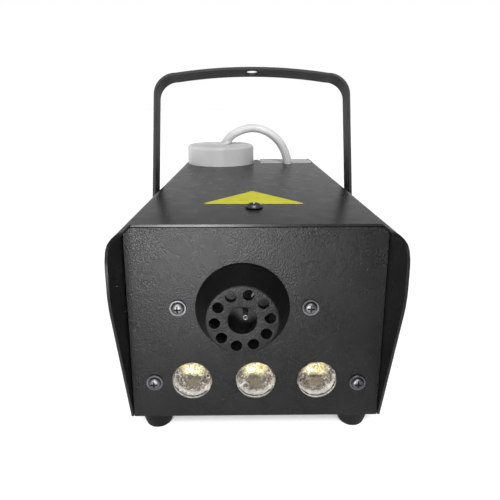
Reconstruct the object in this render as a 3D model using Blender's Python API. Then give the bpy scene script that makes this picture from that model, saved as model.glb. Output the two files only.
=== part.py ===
"""Compact fog machine: steel case, front nozzle, three lamps, rear fluid tank and a carrying handle.

All lengths are in metres. The world has +X to the right seen from the front, +Y to the rear and
+Z up, with its origin on the floor at the middle of the footprint. Every piece hangs on one empty,
the case frame, whose own origin is the front panel's face (y = 0) and the case's underside (z = 0).
"""
import math

import bmesh
import bpy
from mathutils import Vector

# ---- driving dimensions -------------------------------------------------------------------
CASE_W = 0.120
CASE_H = 0.0958
CASE_L = 0.240
EAR = 0.0215           # how far the cover's sides stand forward of the front panel
REAR_REACH = 0.0053    # how far the rear fittings stand behind the rear panel
FOOT_H = 0.0125
SHEET = 0.0012
GAP = 0.0003           # clearance between touching pieces
BEND_R = 0.005         # outer radius of the cover's folds
SCREW_R = 0.0015
SCREW_HOLE_R = 0.0019
OVER = 0.010           # how far a cutter runs past what it cuts

HALF_W = CASE_W / 2
INNER_W = HALF_W - SHEET
PANEL_HALF = INNER_W - GAP
PANEL_TOP = CASE_H - SHEET - GAP
PANEL_BACK = SHEET + GAP      # first free depth behind the front panel
FLOOR_TOP = SHEET + GAP       # first free height above the base tray
REAR_FACE = CASE_L
REAR_INNER = CASE_L - SHEET - GAP
REAR_OUT = REAR_FACE + GAP    # where the rear fittings' flanges start

TOP_SCREW = (-0.0005, 0.0313)
SIDE_SCREW_Y = (0.030, 0.214)
SIDE_SCREW_Z = 0.007
LOW_SCREWS = ((-0.0478, 0.0186), (0.0481, 0.0178))
REAR_SCREWS = ((-0.0545, 0.028), (0.0545, 0.028))
VENT_COUNT = 7
VENT_FIRST_Y = 0.118
VENT_PITCH = 0.0075
VENT_R = 0.0014
VENT_LOW, VENT_HIGH = 0.032, 0.064
BASE_VENT_COUNT = 6
BASE_VENT_X = -0.030          # first slot of the base, across
BASE_VENT_PITCH = 0.008
FLANGE_H = 0.012              # turned-up side of the base tray
TAB_FRONT = (0.0415, 0.0572, 0.025)   # inner edge, outer edge and height of a tray tab
TAB_REAR = (0.0515, 0.0572, 0.033)
WINDOW_LEFT, WINDOW_RIGHT = 0.008, 0.056
WINDOW_FRONT = 0.2035
NOTCH_GAP = 0.0008            # room round the cap and the hose in the cover
FOOT_X = 0.0494
FOOT_Y = (0.013, 0.226)
FOOT_R = 0.0096
STEM_HOLE_R = 0.0032

NOZZLE_X = -0.0063
NOZZLE_Z = 0.0566
NOZZLE_SCREW_X = (-0.0356, 0.0247)
GUARD_REACH = 0.0126          # how far the nozzle guard stands forward
GUARD_BASE_R = 0.0214
GUARD_SPIGOT_R = 0.0165       # its round shoulder behind, in the panel's hole
MOUTH_R = 0.0061
RING_HOLES = 10
RING_R = 0.0120
RING_HOLE_R = 0.0025
JET_X = NOZZLE_X + 0.0013
JET_TIP = -0.0098
JET_R = 0.0012
JET_BORE_R = 0.0005

HEATER_FRONT, HEATER_REAR = 0.0160, 0.1120
HEATER_HALF = 0.026
HEATER_LOW, HEATER_TOP = 0.0366, 0.0766
FITTING_BORE_R = 0.0033       # the two fluid bores of the heater
ELEMENT_X = NOZZLE_X + 0.016
ELEMENT_Z = HEATER_LOW + 0.010
ELEMENT_R = 0.0035
PLATE_Y = 0.0142              # front face of the heater's mounting plate
STAND_FRONT, STAND_BEND, STAND_BACK = 0.082, 0.098, 0.110

LAMP_X = (-0.0302, -0.0002, 0.0288)
LAMP_Z = 0.0192
LENS_R = 0.0091
LAMP_BOARD_Y = 0.0108
LAMP_BOARD_T = 0.0014
EMITTER_HALF = 0.0022

PIVOT_Y = 0.0919              # the handle's pivot, from the front panel and the underside
PIVOT_Z = 0.042
HANDLE_REACH = 0.1329         # pivot to the outside of the top bar
HANDLE_HALF = 0.0659          # outside half width across the legs
HANDLE_T = 0.002
HANDLE_W = 0.0145             # width of the flat strip
HANDLE_LEAN = math.radians(16)
GRIP_HOLE_R = 0.00425
STUD_R = 0.003
STUD_HOLE_R = 0.0033
WASHER_R = 0.0075
STUD_END = 0.0500             # inner end of a knob's stud, from the middle
KNOB_NEAR = HANDLE_HALF + 0.0035
KNOB_FAR = KNOB_NEAR + 0.0100

SHELF_Z = 0.0413              # underside of the tank's shelf
SHELF_TOP = SHELF_Z + SHEET
SHELF_HALF = 0.0575
SHELF_LIP = 0.007
DIVIDER_Y = 0.182
DIVIDER_TOP = 0.088

TANK_LOW = SHELF_TOP + GAP
TANK_TOP = CASE_H - SHEET - 0.0007
TANK_WALL = 0.0015
TANK_FLOOR = TANK_LOW + TANK_WALL
TANK_HALF = 0.0572
TANK_STEP_X, TANK_STEP_Y = 0.0070, 0.2055
TANK_BACK = CASE_L - 0.0015
SHOULDER_TOP = CASE_H + 0.0004
SHOULDER_BACK = CASE_L - 0.0085
NECK_R = 0.0240
NECK_TOP = 0.1078
CAP_X = -0.0266
CAP_Y = 0.2097
CAP_R = 0.0294
CAP_TOP = 0.1123
CAP_LOW = TANK_TOP + 0.0006
CAP_EDGE_R = 0.0030
CAP_BORE_R = 0.0082
HOSE_R = 0.0037
HOSE_X = 0.033                # where the hose goes down into the case
HOSE_Y = 0.2007
HOSE_THROUGH_Z = 0.0585       # where it passes the divider
HOSE_OUT = 0.0026             # from the cap's middle to the hose, at the cap's top
HOSE_SLANT = math.radians(40)
FILTER_R = 0.0050
DELIVERY_R = 0.0022

PUMP_X = 0.033
PUMP_Y = 0.146
PUMP_LOW, PUMP_TOP = 0.0085, 0.0730
PUMP_INLET_Z = 0.0142
PUMP_BARB_R = 0.0032
PUMP_WAY_R = 0.0012           # the fluid ways into and out of the chamber
CHAMBER_LOW, CHAMBER_HIGH = 0.0180, 0.0640
BORE_R = 0.0065
PISTON_R = 0.0062
PISTON_BORE_R = 0.0013
PISTON_LOW, PISTON_HIGH = 0.0360, 0.0580
SPRING_LOW = CHAMBER_LOW + GAP
COIL_HALF = 0.0165
COIL_LOW, COIL_HIGH = 0.0300, 0.0620

FITTING_Z = 0.0195
INLET_HOLE = ((-0.0478, 0.0095), (-0.0202, 0.0295))
INLET_BOTTOM = CASE_L - 0.0150
SWITCH_HOLE = ((-0.0112, 0.0130), (0.0082, 0.0260))
SWITCH_WALL = (0.0018, 0.0014)   # side and top walls round the rocker
SOCKET_X = 0.0310
SOCKET_R = 0.0075
ROCKER_Y = CASE_L - 0.0010
ROCKER_TILT = math.radians(11)

PAINT_BLACK = ((0.018, 0.018, 0.019), 0.42, 0.0)
PLASTIC_BLACK = ((0.012, 0.012, 0.012), 0.55, 0.0)
RUBBER_BLACK = ((0.016, 0.016, 0.016), 0.85, 0.0)
STEEL_DARK = ((0.09, 0.09, 0.10), 0.35, 1.0)
STEEL_BRIGHT = ((0.62, 0.62, 0.64), 0.30, 1.0)
ALUMINIUM = ((0.70, 0.70, 0.71), 0.45, 1.0)
BRASS = ((0.72, 0.52, 0.22), 0.30, 1.0)
PLASTIC_WHITE = ((0.82, 0.83, 0.82), 0.45, 0.0)
LENS_CLEAR = ((0.92, 0.90, 0.80), 0.10, 0.0)
BOARD_GREEN = ((0.03, 0.16, 0.07), 0.50, 0.0)
COPPER = ((0.70, 0.30, 0.16), 0.35, 1.0)

ORIGIN = (0.0, 0.0, 0.0)


# ---- making tools -------------------------------------------------------------------------
def clear_scene():
    for obj in list(bpy.data.objects):
        bpy.data.objects.remove(obj, do_unlink=True)


def case_frame():
    """The empty that every piece is parented to."""
    empty = bpy.data.objects.new("case_frame", None)
    front = -(CASE_L + EAR + REAR_REACH) / 2 + EAR
    empty.location = (0.0, front, FOOT_H)
    bpy.context.collection.objects.link(empty)
    return empty


def finish_on(obj, finish):
    """Give the object its own Principled material."""
    colour, roughness, metallic = finish
    surface = bpy.data.materials.new(obj.name + "_finish")
    surface.use_nodes = True
    shader = surface.node_tree.nodes["Principled BSDF"]
    shader.inputs["Base Color"].default_value = (*colour, 1.0)
    shader.inputs["Roughness"].default_value = roughness
    shader.inputs["Metallic"].default_value = metallic
    obj.data.materials.append(surface)


def place(name, mesh, location=ORIGIN, finish=None, smooth=False):
    """Link a mesh under the case frame. Without a finish it is a cutter or a guide."""
    obj = bpy.data.objects.new(name, mesh)
    bpy.context.collection.objects.link(obj)
    obj.parent = FRAME
    obj.location = location
    if finish is None:
        obj.hide_render = True
        obj.display_type = 'WIRE'
    else:
        finish_on(obj, finish)
    if smooth:
        mesh.shade_smooth()
        mesh.set_sharp_from_angle(angle=math.radians(35))
    return obj


def as_mesh(name, form):
    bmesh.ops.recalc_face_normals(form, faces=form.faces)
    mesh = bpy.data.meshes.new(name)
    form.to_mesh(mesh)
    form.free()
    return mesh


def arc(centre, radius, start, end, steps):
    """Points on an arc, angles in degrees, both ends included."""
    points = []
    for step in range(steps + 1):
        angle = math.radians(start + (end - start) * step / steps)
        points.append((centre[0] + radius * math.cos(angle), centre[1] + radius * math.sin(angle)))
    return points


def rounded(corners, radius, steps=4):
    """A closed outline through the corners, each one turned into an arc of its own radius."""
    radii = radius if isinstance(radius, (list, tuple)) else [radius] * len(corners)
    points = []
    for index, corner in enumerate(corners):
        here = Vector(corner)
        to_last = (Vector(corners[index - 1]) - here).normalized()
        to_next = (Vector(corners[(index + 1) % len(corners)]) - here).normalized()
        if radii[index] <= 0:
            points.append(tuple(here))
            continue
        half = math.acos(max(-1.0, min(1.0, to_last.dot(to_next)))) / 2
        centre = here + (to_last + to_next).normalized() * radii[index] / math.sin(half)
        first = here + to_last * radii[index] / math.tan(half) - centre
        last = here + to_next * radii[index] / math.tan(half) - centre
        turn = math.atan2(first.x * last.y - first.y * last.x, first.dot(last))
        for step in range(steps + 1):
            angle = turn * step / steps
            swing = Vector((first.x * math.cos(angle) - first.y * math.sin(angle),
                            first.x * math.sin(angle) + first.y * math.cos(angle)))
            points.append(tuple(centre + swing))
    return points


def rectangle(low, high):
    return [(low[0], low[1]), (high[0], low[1]), (high[0], high[1]), (low[0], high[1])]


def slab_mesh(name, outline, low, high, axis):
    """A flat outline pushed from low to high along X, Y or Z."""
    spread = {'X': lambda a, b, c: (c, a, b), 'Y': lambda a, b, c: (a, c, b), 'Z': lambda a, b, c: (a, b, c)}
    form = bmesh.new()
    near = [form.verts.new(spread[axis](a, b, low)) for a, b in outline]
    far = [form.verts.new(spread[axis](a, b, high)) for a, b in outline]
    form.faces.new(near)
    form.faces.new(list(reversed(far)))
    for index in range(len(outline)):
        after = (index + 1) % len(outline)
        form.faces.new((near[index], near[after], far[after], far[index]))
    return as_mesh(name, form)


def slab(name, outline, low, high, axis, finish=None, location=ORIGIN):
    return place(name, slab_mesh(name, outline, low, high, axis), location, finish)


def block(name, low, high, finish=None):
    return slab(name, rectangle(low[:2], high[:2]), low[2], high[2], 'Z', finish)


def turned_mesh(name, profile, steps, axis, ring=False):
    """A profile of (radius, distance along the axis) turned about X, Y or Z.

    A plain profile runs from pole to pole; a ring profile is a closed loop off the axis.
    """
    spread = {'X': lambda r, c, s, d: (d, r * c, r * s),
              'Y': lambda r, c, s, d: (r * c, d, r * s),
              'Z': lambda r, c, s, d: (r * c, r * s, d)}[axis]
    form = bmesh.new()
    rows = []
    for radius, distance in profile:
        if radius == 0:
            rows.append([form.verts.new(spread(0, 0, 0, distance))])
            continue
        row = []
        for step in range(steps):
            angle = 2 * math.pi * step / steps
            row.append(form.verts.new(spread(radius, math.cos(angle), math.sin(angle), distance)))
        rows.append(row)
    pairs = list(zip(rows, rows[1:]))
    if ring:
        pairs.append((rows[-1], rows[0]))
    elif len(rows[0]) > 1:
        form.faces.new(rows[0])
    if not ring and len(rows[-1]) > 1:
        form.faces.new(rows[-1])
    for upper, lower in pairs:
        for step in range(steps):
            after = (step + 1) % steps
            corners = [upper[step % len(upper)], upper[after % len(upper)],
                       lower[after % len(lower)], lower[step % len(lower)]]
            form.faces.new(list(dict.fromkeys(corners)))
    return as_mesh(name, form)


def turned(name, profile, steps, axis, finish=None, location=ORIGIN, ring=False):
    mesh = turned_mesh(name, profile, steps, axis, ring)
    return place(name, mesh, location, finish, smooth=finish is not None)


def rod(name, radius, low, high, axis, finish=None, location=ORIGIN, steps=16):
    return turned(name, [(radius, low), (radius, high)], steps, axis, finish, location)


def combine(obj, helper, operation='DIFFERENCE'):
    """Cut the helper out of the object, or join it on."""
    change = obj.modifiers.new(helper.name, 'BOOLEAN')
    change.operation = operation
    change.solver = 'EXACT'
    change.object = helper
    return obj


def join(obj, helper):
    return combine(obj, helper, 'UNION')


def hose_curve(name, route, radius, finish, samples=2):
    """A round hose along a smooth curve through the route's points."""
    points = [Vector(point) for point in route]
    padded = [2 * points[0] - points[1]] + points + [2 * points[-1] - points[-2]]
    path = []
    for index in range(1, len(padded) - 2):
        before, start, end, beyond = padded[index - 1:index + 3]
        for step in range(samples):
            t = step / samples
            path.append(0.5 * (2 * start + (end - before) * t
                               + (2 * before - 5 * start + 4 * end - beyond) * t ** 2
                               + (3 * start - before - 3 * end + beyond) * t ** 3))
    path.append(points[-1])
    curve = bpy.data.curves.new(name, 'CURVE')
    curve.dimensions = '3D'
    curve.bevel_depth = radius
    curve.bevel_resolution = 2
    curve.use_fill_caps = True
    curve.resolution_u = 1
    curve.render_resolution_u = 0
    line = curve.splines.new('POLY')
    line.points.add(len(path) - 1)
    for knot, point in zip(line.points, path):
        knot.co = (*point, 1.0)
    obj = bpy.data.objects.new(name, curve)
    bpy.context.collection.objects.link(obj)
    obj.parent = FRAME
    finish_on(obj, finish)
    return obj


# ---- case ---------------------------------------------------------------------------------
def cover():
    """One folded sheet: top and both sides, with ears in front and notches over the tank."""
    inner_r = BEND_R - SHEET
    outline = rounded(
        [(-HALF_W, 0), (-HALF_W, CASE_H), (HALF_W, CASE_H), (HALF_W, 0),
         (INNER_W, 0), (INNER_W, CASE_H - SHEET), (-INNER_W, CASE_H - SHEET), (-INNER_W, 0)],
        [0, BEND_R, BEND_R, 0, 0, inner_r, inner_r, 0], steps=5)
    obj = slab("cover", outline, -EAR, CASE_L, 'Y', PAINT_BLACK)

    widest_z = 0.069
    ear_bend_r = 0.045
    ear_top_r = 0.012
    past = 0.03
    slant = rounded([(EAR * past, -widest_z * past), (-EAR, widest_z), (-EAR, CASE_H)],
                    [0, ear_bend_r, 0], steps=5)[:-1]
    shoulder = arc((-EAR + ear_top_r, CASE_H - ear_top_r), ear_top_r, 180, 90, 6)
    away = [(-EAR + ear_top_r, CASE_H + OVER), (-EAR - OVER, CASE_H + OVER), (-EAR - OVER, -OVER),
            (EAR * past, -OVER)]
    combine(obj, slab("cut_ear_shape", slant + shoulder + away, -HALF_W - OVER, HALF_W + OVER, 'X'))
    combine(obj, block("cut_top_front", (-HALF_W + BEND_R, -EAR - OVER, CASE_H - 0.008),
                       (HALF_W - BEND_R, 0.0, CASE_H + OVER)))

    below, above = CASE_H - 0.003, CASE_H + OVER
    notch_r = CAP_R + NOTCH_GAP
    front_arc = arc((CAP_X, CAP_Y), notch_r, 180, 360, 20)
    cap_notch = front_arc + [(CAP_X + notch_r, CASE_L + OVER), (CAP_X - notch_r, CASE_L + OVER)]
    combine(obj, slab("cut_cap_notch", cap_notch, below, above, 'Z'))
    window = rounded(rectangle((WINDOW_LEFT, WINDOW_FRONT), (WINDOW_RIGHT, CASE_L + OVER)),
                     [0.003, 0.003, 0, 0])
    combine(obj, slab("cut_tank_window", window, below, above, 'Z'))
    combine(obj, rod("cut_hose_hole", HOSE_R + NOTCH_GAP, below, above, 'Z',
                     location=(HOSE_X, HOSE_Y, 0)))
    tongue_end = 0.229
    combine(obj, block("cut_tongue_end", (CAP_X + notch_r - 0.001, tongue_end, below),
                       (WINDOW_LEFT + 0.001, CASE_L + OVER * 2, above)))
    combine(obj, rod("cut_top_screw", SCREW_HOLE_R, below, above, 'Z',
                     location=(TOP_SCREW[0], TOP_SCREW[1], 0), steps=12))
    combine(obj, rod("cut_pivots", STUD_HOLE_R, -HALF_W - OVER, HALF_W + OVER, 'X',
                     location=(0, PIVOT_Y, PIVOT_Z)))
    for index, along in enumerate(SIDE_SCREW_Y):
        combine(obj, rod(f"cut_side_screws_{index}", SCREW_HOLE_R, -HALF_W - OVER, HALF_W + OVER, 'X',
                         location=(0, along, SIDE_SCREW_Z), steps=12))
    for index in range(VENT_COUNT):
        middle = VENT_FIRST_Y + index * VENT_PITCH
        slot = arc((middle, VENT_HIGH), VENT_R, 0, 180, 4) + arc((middle, VENT_LOW), VENT_R, 180, 360, 4)
        combine(obj, slab(f"cut_side_vent_{index}", slot, -HALF_W - OVER, HALF_W + OVER, 'X'))
    return obj


def front_panel():
    corner = BEND_R - SHEET + 0.0005
    outline = rounded(rectangle((-PANEL_HALF, 0), (PANEL_HALF, PANEL_TOP)), [0, 0, corner, corner], 5)
    obj = slab("front_panel", outline, 0, SHEET, 'Y', PAINT_BLACK)
    combine(obj, rod("cut_nozzle_hole", GUARD_SPIGOT_R + GAP, -OVER, OVER, 'Y',
                     location=(NOZZLE_X, 0, NOZZLE_Z), steps=32))
    for index, across in enumerate(LAMP_X):
        combine(obj, rod(f"cut_lamp_hole_{index}", LENS_R + GAP, -OVER, OVER, 'Y',
                         location=(across, 0, LAMP_Z), steps=24))
    for index, (across, up) in enumerate(LOW_SCREWS):
        combine(obj, rod(f"cut_low_screw_{index}", SCREW_HOLE_R, -OVER, OVER, 'Y',
                         location=(across, 0, up), steps=12))
    for index, across in enumerate(NOZZLE_SCREW_X):
        combine(obj, rod(f"cut_nozzle_screw_{index}", SCREW_HOLE_R, -OVER, OVER, 'Y',
                         location=(across, 0, NOZZLE_Z), steps=12))
    return obj


def base_tray():
    """Bottom sheet with turned-up sides, two tabs in front and two behind."""
    lip = PANEL_HALF - SHEET
    outline = [(-PANEL_HALF, 0), (PANEL_HALF, 0), (PANEL_HALF, FLANGE_H), (lip, FLANGE_H),
               (lip, SHEET), (-lip, SHEET), (-lip, FLANGE_H), (-PANEL_HALF, FLANGE_H)]
    obj = slab("base_tray", outline, PANEL_BACK, REAR_INNER, 'Y', PAINT_BLACK)
    for side in (-1, 1):
        inner, outer = sorted((side * TAB_FRONT[0], side * TAB_FRONT[1]))
        join(obj, block(f"tab_front_{side}", (inner, PANEL_BACK, SHEET / 2),
                        (outer, PANEL_BACK + SHEET, TAB_FRONT[2])))
        inner, outer = sorted((side * TAB_REAR[0], side * TAB_REAR[1]))
        join(obj, block(f"tab_rear_{side}", (inner, REAR_INNER - SHEET, SHEET / 2),
                        (outer, REAR_INNER, TAB_REAR[2])))
    for index, (across, up) in enumerate(LOW_SCREWS):
        combine(obj, rod(f"cut_tab_front_{index}", SCREW_HOLE_R, 0, OVER, 'Y',
                         location=(across, 0, up), steps=12))
    for index, (across, up) in enumerate(REAR_SCREWS):
        combine(obj, rod(f"cut_tab_rear_{index}", SCREW_HOLE_R, REAR_INNER - OVER, REAR_FACE, 'Y',
                         location=(across, 0, up), steps=12))
    for index, along in enumerate(SIDE_SCREW_Y):
        combine(obj, rod(f"cut_flange_screws_{index}", SCREW_HOLE_R, -HALF_W, HALF_W, 'X',
                         location=(0, along, SIDE_SCREW_Z), steps=12))
    for side in (-1, 1):
        for along in FOOT_Y:
            combine(obj, rod(f"cut_stem_{side}_{along}", STEM_HOLE_R, -OVER, OVER, 'Z',
                             location=(side * FOOT_X, along, 0), steps=12))
    vent_front, vent_back = 0.170, 0.200
    for index in range(BASE_VENT_COUNT):
        across = BASE_VENT_X + index * BASE_VENT_PITCH
        slot = arc((across, vent_back), VENT_R, 0, 180, 4) + arc((across, vent_front), VENT_R, 180, 360, 4)
        combine(obj, slab(f"cut_base_vent_{index}", slot, -OVER, OVER, 'Z'))
    return obj


def rear_panel():
    outline = rectangle((-PANEL_HALF, 0), (PANEL_HALF, SHELF_Z - GAP))
    obj = slab("rear_panel", outline, REAR_FACE - SHEET, REAR_FACE, 'Y', PAINT_BLACK)
    for name, low, high in (("inlet", INLET_HOLE[0], INLET_HOLE[1]),
                            ("switch", SWITCH_HOLE[0], SWITCH_HOLE[1])):
        combine(obj, slab(f"cut_rear_{name}", rectangle(low, high), CASE_L - OVER, CASE_L + OVER, 'Y'))
    combine(obj, rod("cut_rear_socket", SOCKET_R + GAP, CASE_L - OVER, CASE_L + OVER, 'Y',
                     location=(SOCKET_X, 0, FITTING_Z), steps=20))
    for index, (across, up) in enumerate(REAR_SCREWS):
        combine(obj, rod(f"cut_rear_screw_{index}", SCREW_HOLE_R, CASE_L - OVER, CASE_L + OVER, 'Y',
                         location=(across, 0, up), steps=12))
    return obj


def bottle_shelf():
    """One folded sheet: a lip behind the rear panel, the tank's shelf and the divider."""
    back, lip_low = REAR_INNER, SHELF_Z - SHELF_LIP
    outline = [(back, lip_low), (back, SHELF_TOP), (DIVIDER_Y + SHEET, SHELF_TOP),
               (DIVIDER_Y + SHEET, DIVIDER_TOP), (DIVIDER_Y, DIVIDER_TOP), (DIVIDER_Y, SHELF_Z),
               (back - SHEET, SHELF_Z), (back - SHEET, lip_low)]
    obj = slab("bottle_shelf", outline, -SHELF_HALF, SHELF_HALF, 'X', STEEL_BRIGHT)
    combine(obj, rod("cut_divider_hose", HOSE_R + 0.0025, -OVER, OVER, 'Y',
                     location=(HOSE_X, DIVIDER_Y, HOSE_THROUGH_Z), steps=16))
    return obj


def foot(name, across, along):
    """Push-in rubber bumper: tapered body below the sheet, stem and barb above it."""
    sole_r, barb_r, barb_top = 0.0042, 0.0040, 0.0050
    profile = [(0, -FOOT_H), (sole_r, -FOOT_H), (sole_r + 0.0014, -FOOT_H + 0.0007),
               (sole_r + 0.0023, -FOOT_H + 0.0022), (FOOT_R - 0.0006, -0.0035), (FOOT_R, -0.0018),
               (FOOT_R, -GAP), (STEM_HOLE_R - GAP, -GAP), (STEM_HOLE_R - GAP, FLOOR_TOP),
               (barb_r, FLOOR_TOP), (barb_r * 0.55, barb_top), (0, barb_top)]
    return turned(name, profile, 18, 'Z', RUBBER_BLACK, (across, along, 0))


# ---- fasteners ----------------------------------------------------------------------------
def screw(name, location, axis, sign, length, head_r=0.0039, finish=STEEL_DARK):
    """Cross-recessed screw with a flanged dome head; its shank runs against the sign."""
    flange, dome = 0.0007, 0.0024
    face = GAP
    profile = [(0, -length), (SCREW_R, -length), (SCREW_R, face), (head_r, face),
               (head_r, face + flange), (head_r * 0.74, face + flange + 0.0002),
               (head_r * 0.62, face + dome * 0.80), (0, face + dome)]
    profile = [(radius, distance * sign) for radius, distance in profile]
    obj = turned(name, profile, 14, axis, finish, location)
    arm, width = head_r * 0.46, 0.0005
    deep, out = sorted((sign * (face + dome - 0.0013), sign * (face + dome + 0.001)))
    cross = [(arm, -width), (arm, width), (width, width), (width, arm), (-width, arm), (-width, width),
             (-arm, width), (-arm, -width), (-width, -width), (-width, -arm), (width, -arm),
             (width, -width)]
    return combine(obj, slab("cut_cross_" + name, cross, deep, out, axis, location=location))


def screws():
    for side, across in zip(("left", "right"), NOZZLE_SCREW_X):
        screw(f"screw_nozzle_{side}", (across, 0, NOZZLE_Z), 'Y', -1, 0.0185)
    for side, (across, up) in zip(("left", "right"), LOW_SCREWS):
        screw(f"screw_panel_{side}", (across, 0, up), 'Y', -1, 0.006)
    screw("screw_cover_top", (TOP_SCREW[0], TOP_SCREW[1], CASE_H), 'Z', 1, 0.006, head_r=0.0045)
    for side, (across, up) in zip(("left", "right"), REAR_SCREWS):
        screw(f"screw_rear_{side}", (across, REAR_FACE, up), 'Y', 1, 0.006)
    for side, sign in (("left", -1), ("right", 1)):
        for end, along in zip(("front", "rear"), SIDE_SCREW_Y):
            screw(f"screw_side_{end}_{side}", (sign * HALF_W, along, SIDE_SCREW_Z), 'X', sign, 0.005)


# ---- handle -------------------------------------------------------------------------------
def handle():
    """Flat strip bent to a U with an arched top, turning on its two pivot holes."""
    corner_r = 0.0145
    arch_r = 0.330
    middle_half = HANDLE_HALF - corner_r
    drop = arch_r - math.sqrt(arch_r ** 2 - middle_half ** 2)
    slope = math.degrees(math.asin(middle_half / arch_r))
    corner_z = HANDLE_REACH - drop - corner_r

    def half_outline(inset):
        """Right half from the pivot to the middle of the top, moved in by the inset."""
        top = arc((0, HANDLE_REACH - arch_r), arch_r - inset, 90 - slope, 90, 6)
        bend = arc((middle_half, corner_z), corner_r - inset, 0, 90 - slope, 6)
        return [(HANDLE_HALF - inset, -HANDLE_W / 2)] + bend + top

    def whole_outline(inset):
        right = half_outline(inset)
        return right + [(-across, up) for across, up in reversed(right[:-1])]

    outline = whole_outline(0) + list(reversed(whole_outline(HANDLE_T)))
    pivot = (0, PIVOT_Y, PIVOT_Z)
    half = HANDLE_W / 2
    obj = slab("handle", outline, -half, half, 'Y', STEEL_DARK, pivot)
    waste = arc((0, 0), half, 180, 360, 8) + [(half + OVER, 0), (half + OVER, -OVER * 2),
                                              (-half - OVER, -OVER * 2), (-half - OVER, 0)]
    wide = HANDLE_HALF + OVER
    helpers = [slab("cut_leg_ends", waste, -wide, wide, 'X', location=pivot),
               rod("cut_leg_holes", STUD_HOLE_R, -wide, wide, 'X', location=pivot, steps=20),
               rod("cut_grip_hole", GRIP_HOLE_R, HANDLE_REACH - OVER, HANDLE_REACH + OVER, 'Z',
                   location=pivot, steps=20)]
    for part in [obj] + helpers:
        part.rotation_euler.x = -HANDLE_LEAN
    for helper in helpers:
        combine(obj, helper)
    return obj


def knob(name, sign):
    """Lobed hand knob with its threaded stud, turning on the handle's pivot axis."""
    lobes, mean_r, wave = 6, 0.0115, 0.0012
    outline = []
    for step in range(lobes * 6):
        angle = 2 * math.pi * step / (lobes * 6)
        radius = mean_r + wave * math.cos(lobes * angle)
        outline.append((radius * math.cos(angle), radius * math.sin(angle)))
    pivot = (0, PIVOT_Y, PIVOT_Z)
    near, far = sorted((sign * KNOB_NEAR, sign * KNOB_FAR))
    obj = slab(name, outline, near, far, 'X', PLASTIC_BLACK, pivot)
    collar, inside = HANDLE_HALF + GAP, KNOB_NEAR + 0.0045
    stem = [(0, STUD_END), (STUD_R, STUD_END), (STUD_R, collar), (WASHER_R, collar), (WASHER_R, inside),
            (0, inside)]
    join(obj, turned("stem_" + name, [(r, sign * d) for r, d in stem], 20, 'X', location=pivot))
    dish_floor, dish_open = KNOB_FAR - 0.0013, KNOB_FAR + 0.0010
    dish = [(0, dish_floor), (0.0072, dish_floor), (0.0080, dish_open), (0, dish_open)]
    return combine(obj, turned("dish_" + name, [(r, sign * d) for r, d in dish], 20, 'X', location=pivot))


def pivot_washer(name, sign):
    leg_inner = HANDLE_HALF - HANDLE_T
    near, far = sorted((sign * (HALF_W + GAP), sign * (leg_inner - GAP)))
    profile = [(STUD_HOLE_R, near), (WASHER_R, near), (WASHER_R, far), (STUD_HOLE_R, far)]
    return turned(name, profile, 20, 'X', RUBBER_BLACK, (0, PIVOT_Y, PIVOT_Z), ring=True)


def pivot_nut(name, sign):
    near, far = sorted((sign * (STUD_END + 0.0030), sign * (INNER_W - GAP)))
    across_corners = 0.0058
    obj = rod(name, across_corners, near, far, 'X', STEEL_BRIGHT, (0, PIVOT_Y, PIVOT_Z), steps=6)
    return combine(obj, rod("bore_" + name, STUD_HOLE_R, -HALF_W - OVER, HALF_W + OVER, 'X',
                            location=(0, PIVOT_Y, PIVOT_Z)))


# ---- nozzle and heater --------------------------------------------------------------------
def nozzle_cap():
    """Tapered heat guard with a wide mouth and a ring of ten small holes."""
    reach, rim_r, face_t = GUARD_REACH, 0.0162, 0.0030
    spigot_back, wall = 0.0060, 0.0015
    hollow_r = GUARD_SPIGOT_R - wall
    profile = [(MOUTH_R, -reach), (rim_r - 0.0012, -reach), (rim_r - 0.0003, -reach + 0.0003),
               (rim_r + 0.0003, -reach + 0.0011), (GUARD_BASE_R - 0.0002, -0.0012),
               (GUARD_BASE_R, -GAP), (GUARD_SPIGOT_R, -GAP), (GUARD_SPIGOT_R, spigot_back),
               (hollow_r, spigot_back), (hollow_r, -reach + face_t), (MOUTH_R, -reach + face_t)]
    centre = (NOZZLE_X, 0, NOZZLE_Z)
    obj = turned("nozzle_cap", profile, 40, 'Y', PLASTIC_BLACK, centre, ring=True)
    first_hole = 113.5
    for index in range(RING_HOLES):
        angle = math.radians(first_hole + 360 / RING_HOLES * index)
        spot = (NOZZLE_X + RING_R * math.cos(angle), 0, NOZZLE_Z + RING_R * math.sin(angle))
        combine(obj, rod(f"cut_ring_{index}", RING_HOLE_R, -reach - OVER, -reach + face_t * 1.5, 'Y',
                         location=spot, steps=12))
    return obj


def nozzle_tube():
    """Brass outlet tube, screwed into the heater, ending in a fine jet."""
    tube_r, tube_end = FITTING_BORE_R - GAP, 0.0280
    profile = [(JET_BORE_R, JET_TIP), (JET_R, JET_TIP), (JET_R + 0.0001, 0.0020), (tube_r, 0.0040),
               (tube_r, tube_end), (JET_BORE_R, tube_end)]
    return turned("nozzle_tube", profile, 16, 'Y', BRASS, (JET_X, 0, NOZZLE_Z), ring=True)


def heater_block():
    low = (NOZZLE_X - HEATER_HALF, HEATER_LOW)
    high = (NOZZLE_X + HEATER_HALF, HEATER_TOP)
    obj = slab("heater_block", rounded(rectangle(low, high), 0.006, 4), HEATER_FRONT, HEATER_REAR,
               'Y', ALUMINIUM)
    deep = 0.014
    combine(obj, rod("bore_outlet", FITTING_BORE_R, HEATER_FRONT - OVER, HEATER_FRONT + deep, 'Y',
                     location=(JET_X, 0, NOZZLE_Z)))
    combine(obj, rod("bore_inlet", FITTING_BORE_R, HEATER_REAR - deep, HEATER_REAR + OVER, 'Y',
                     location=(NOZZLE_X, 0, NOZZLE_Z)))
    return combine(obj, rod("bore_element", ELEMENT_R + GAP, HEATER_FRONT + 0.006, HEATER_REAR + OVER, 'Y',
                            location=(ELEMENT_X, 0, ELEMENT_Z)))


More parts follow.
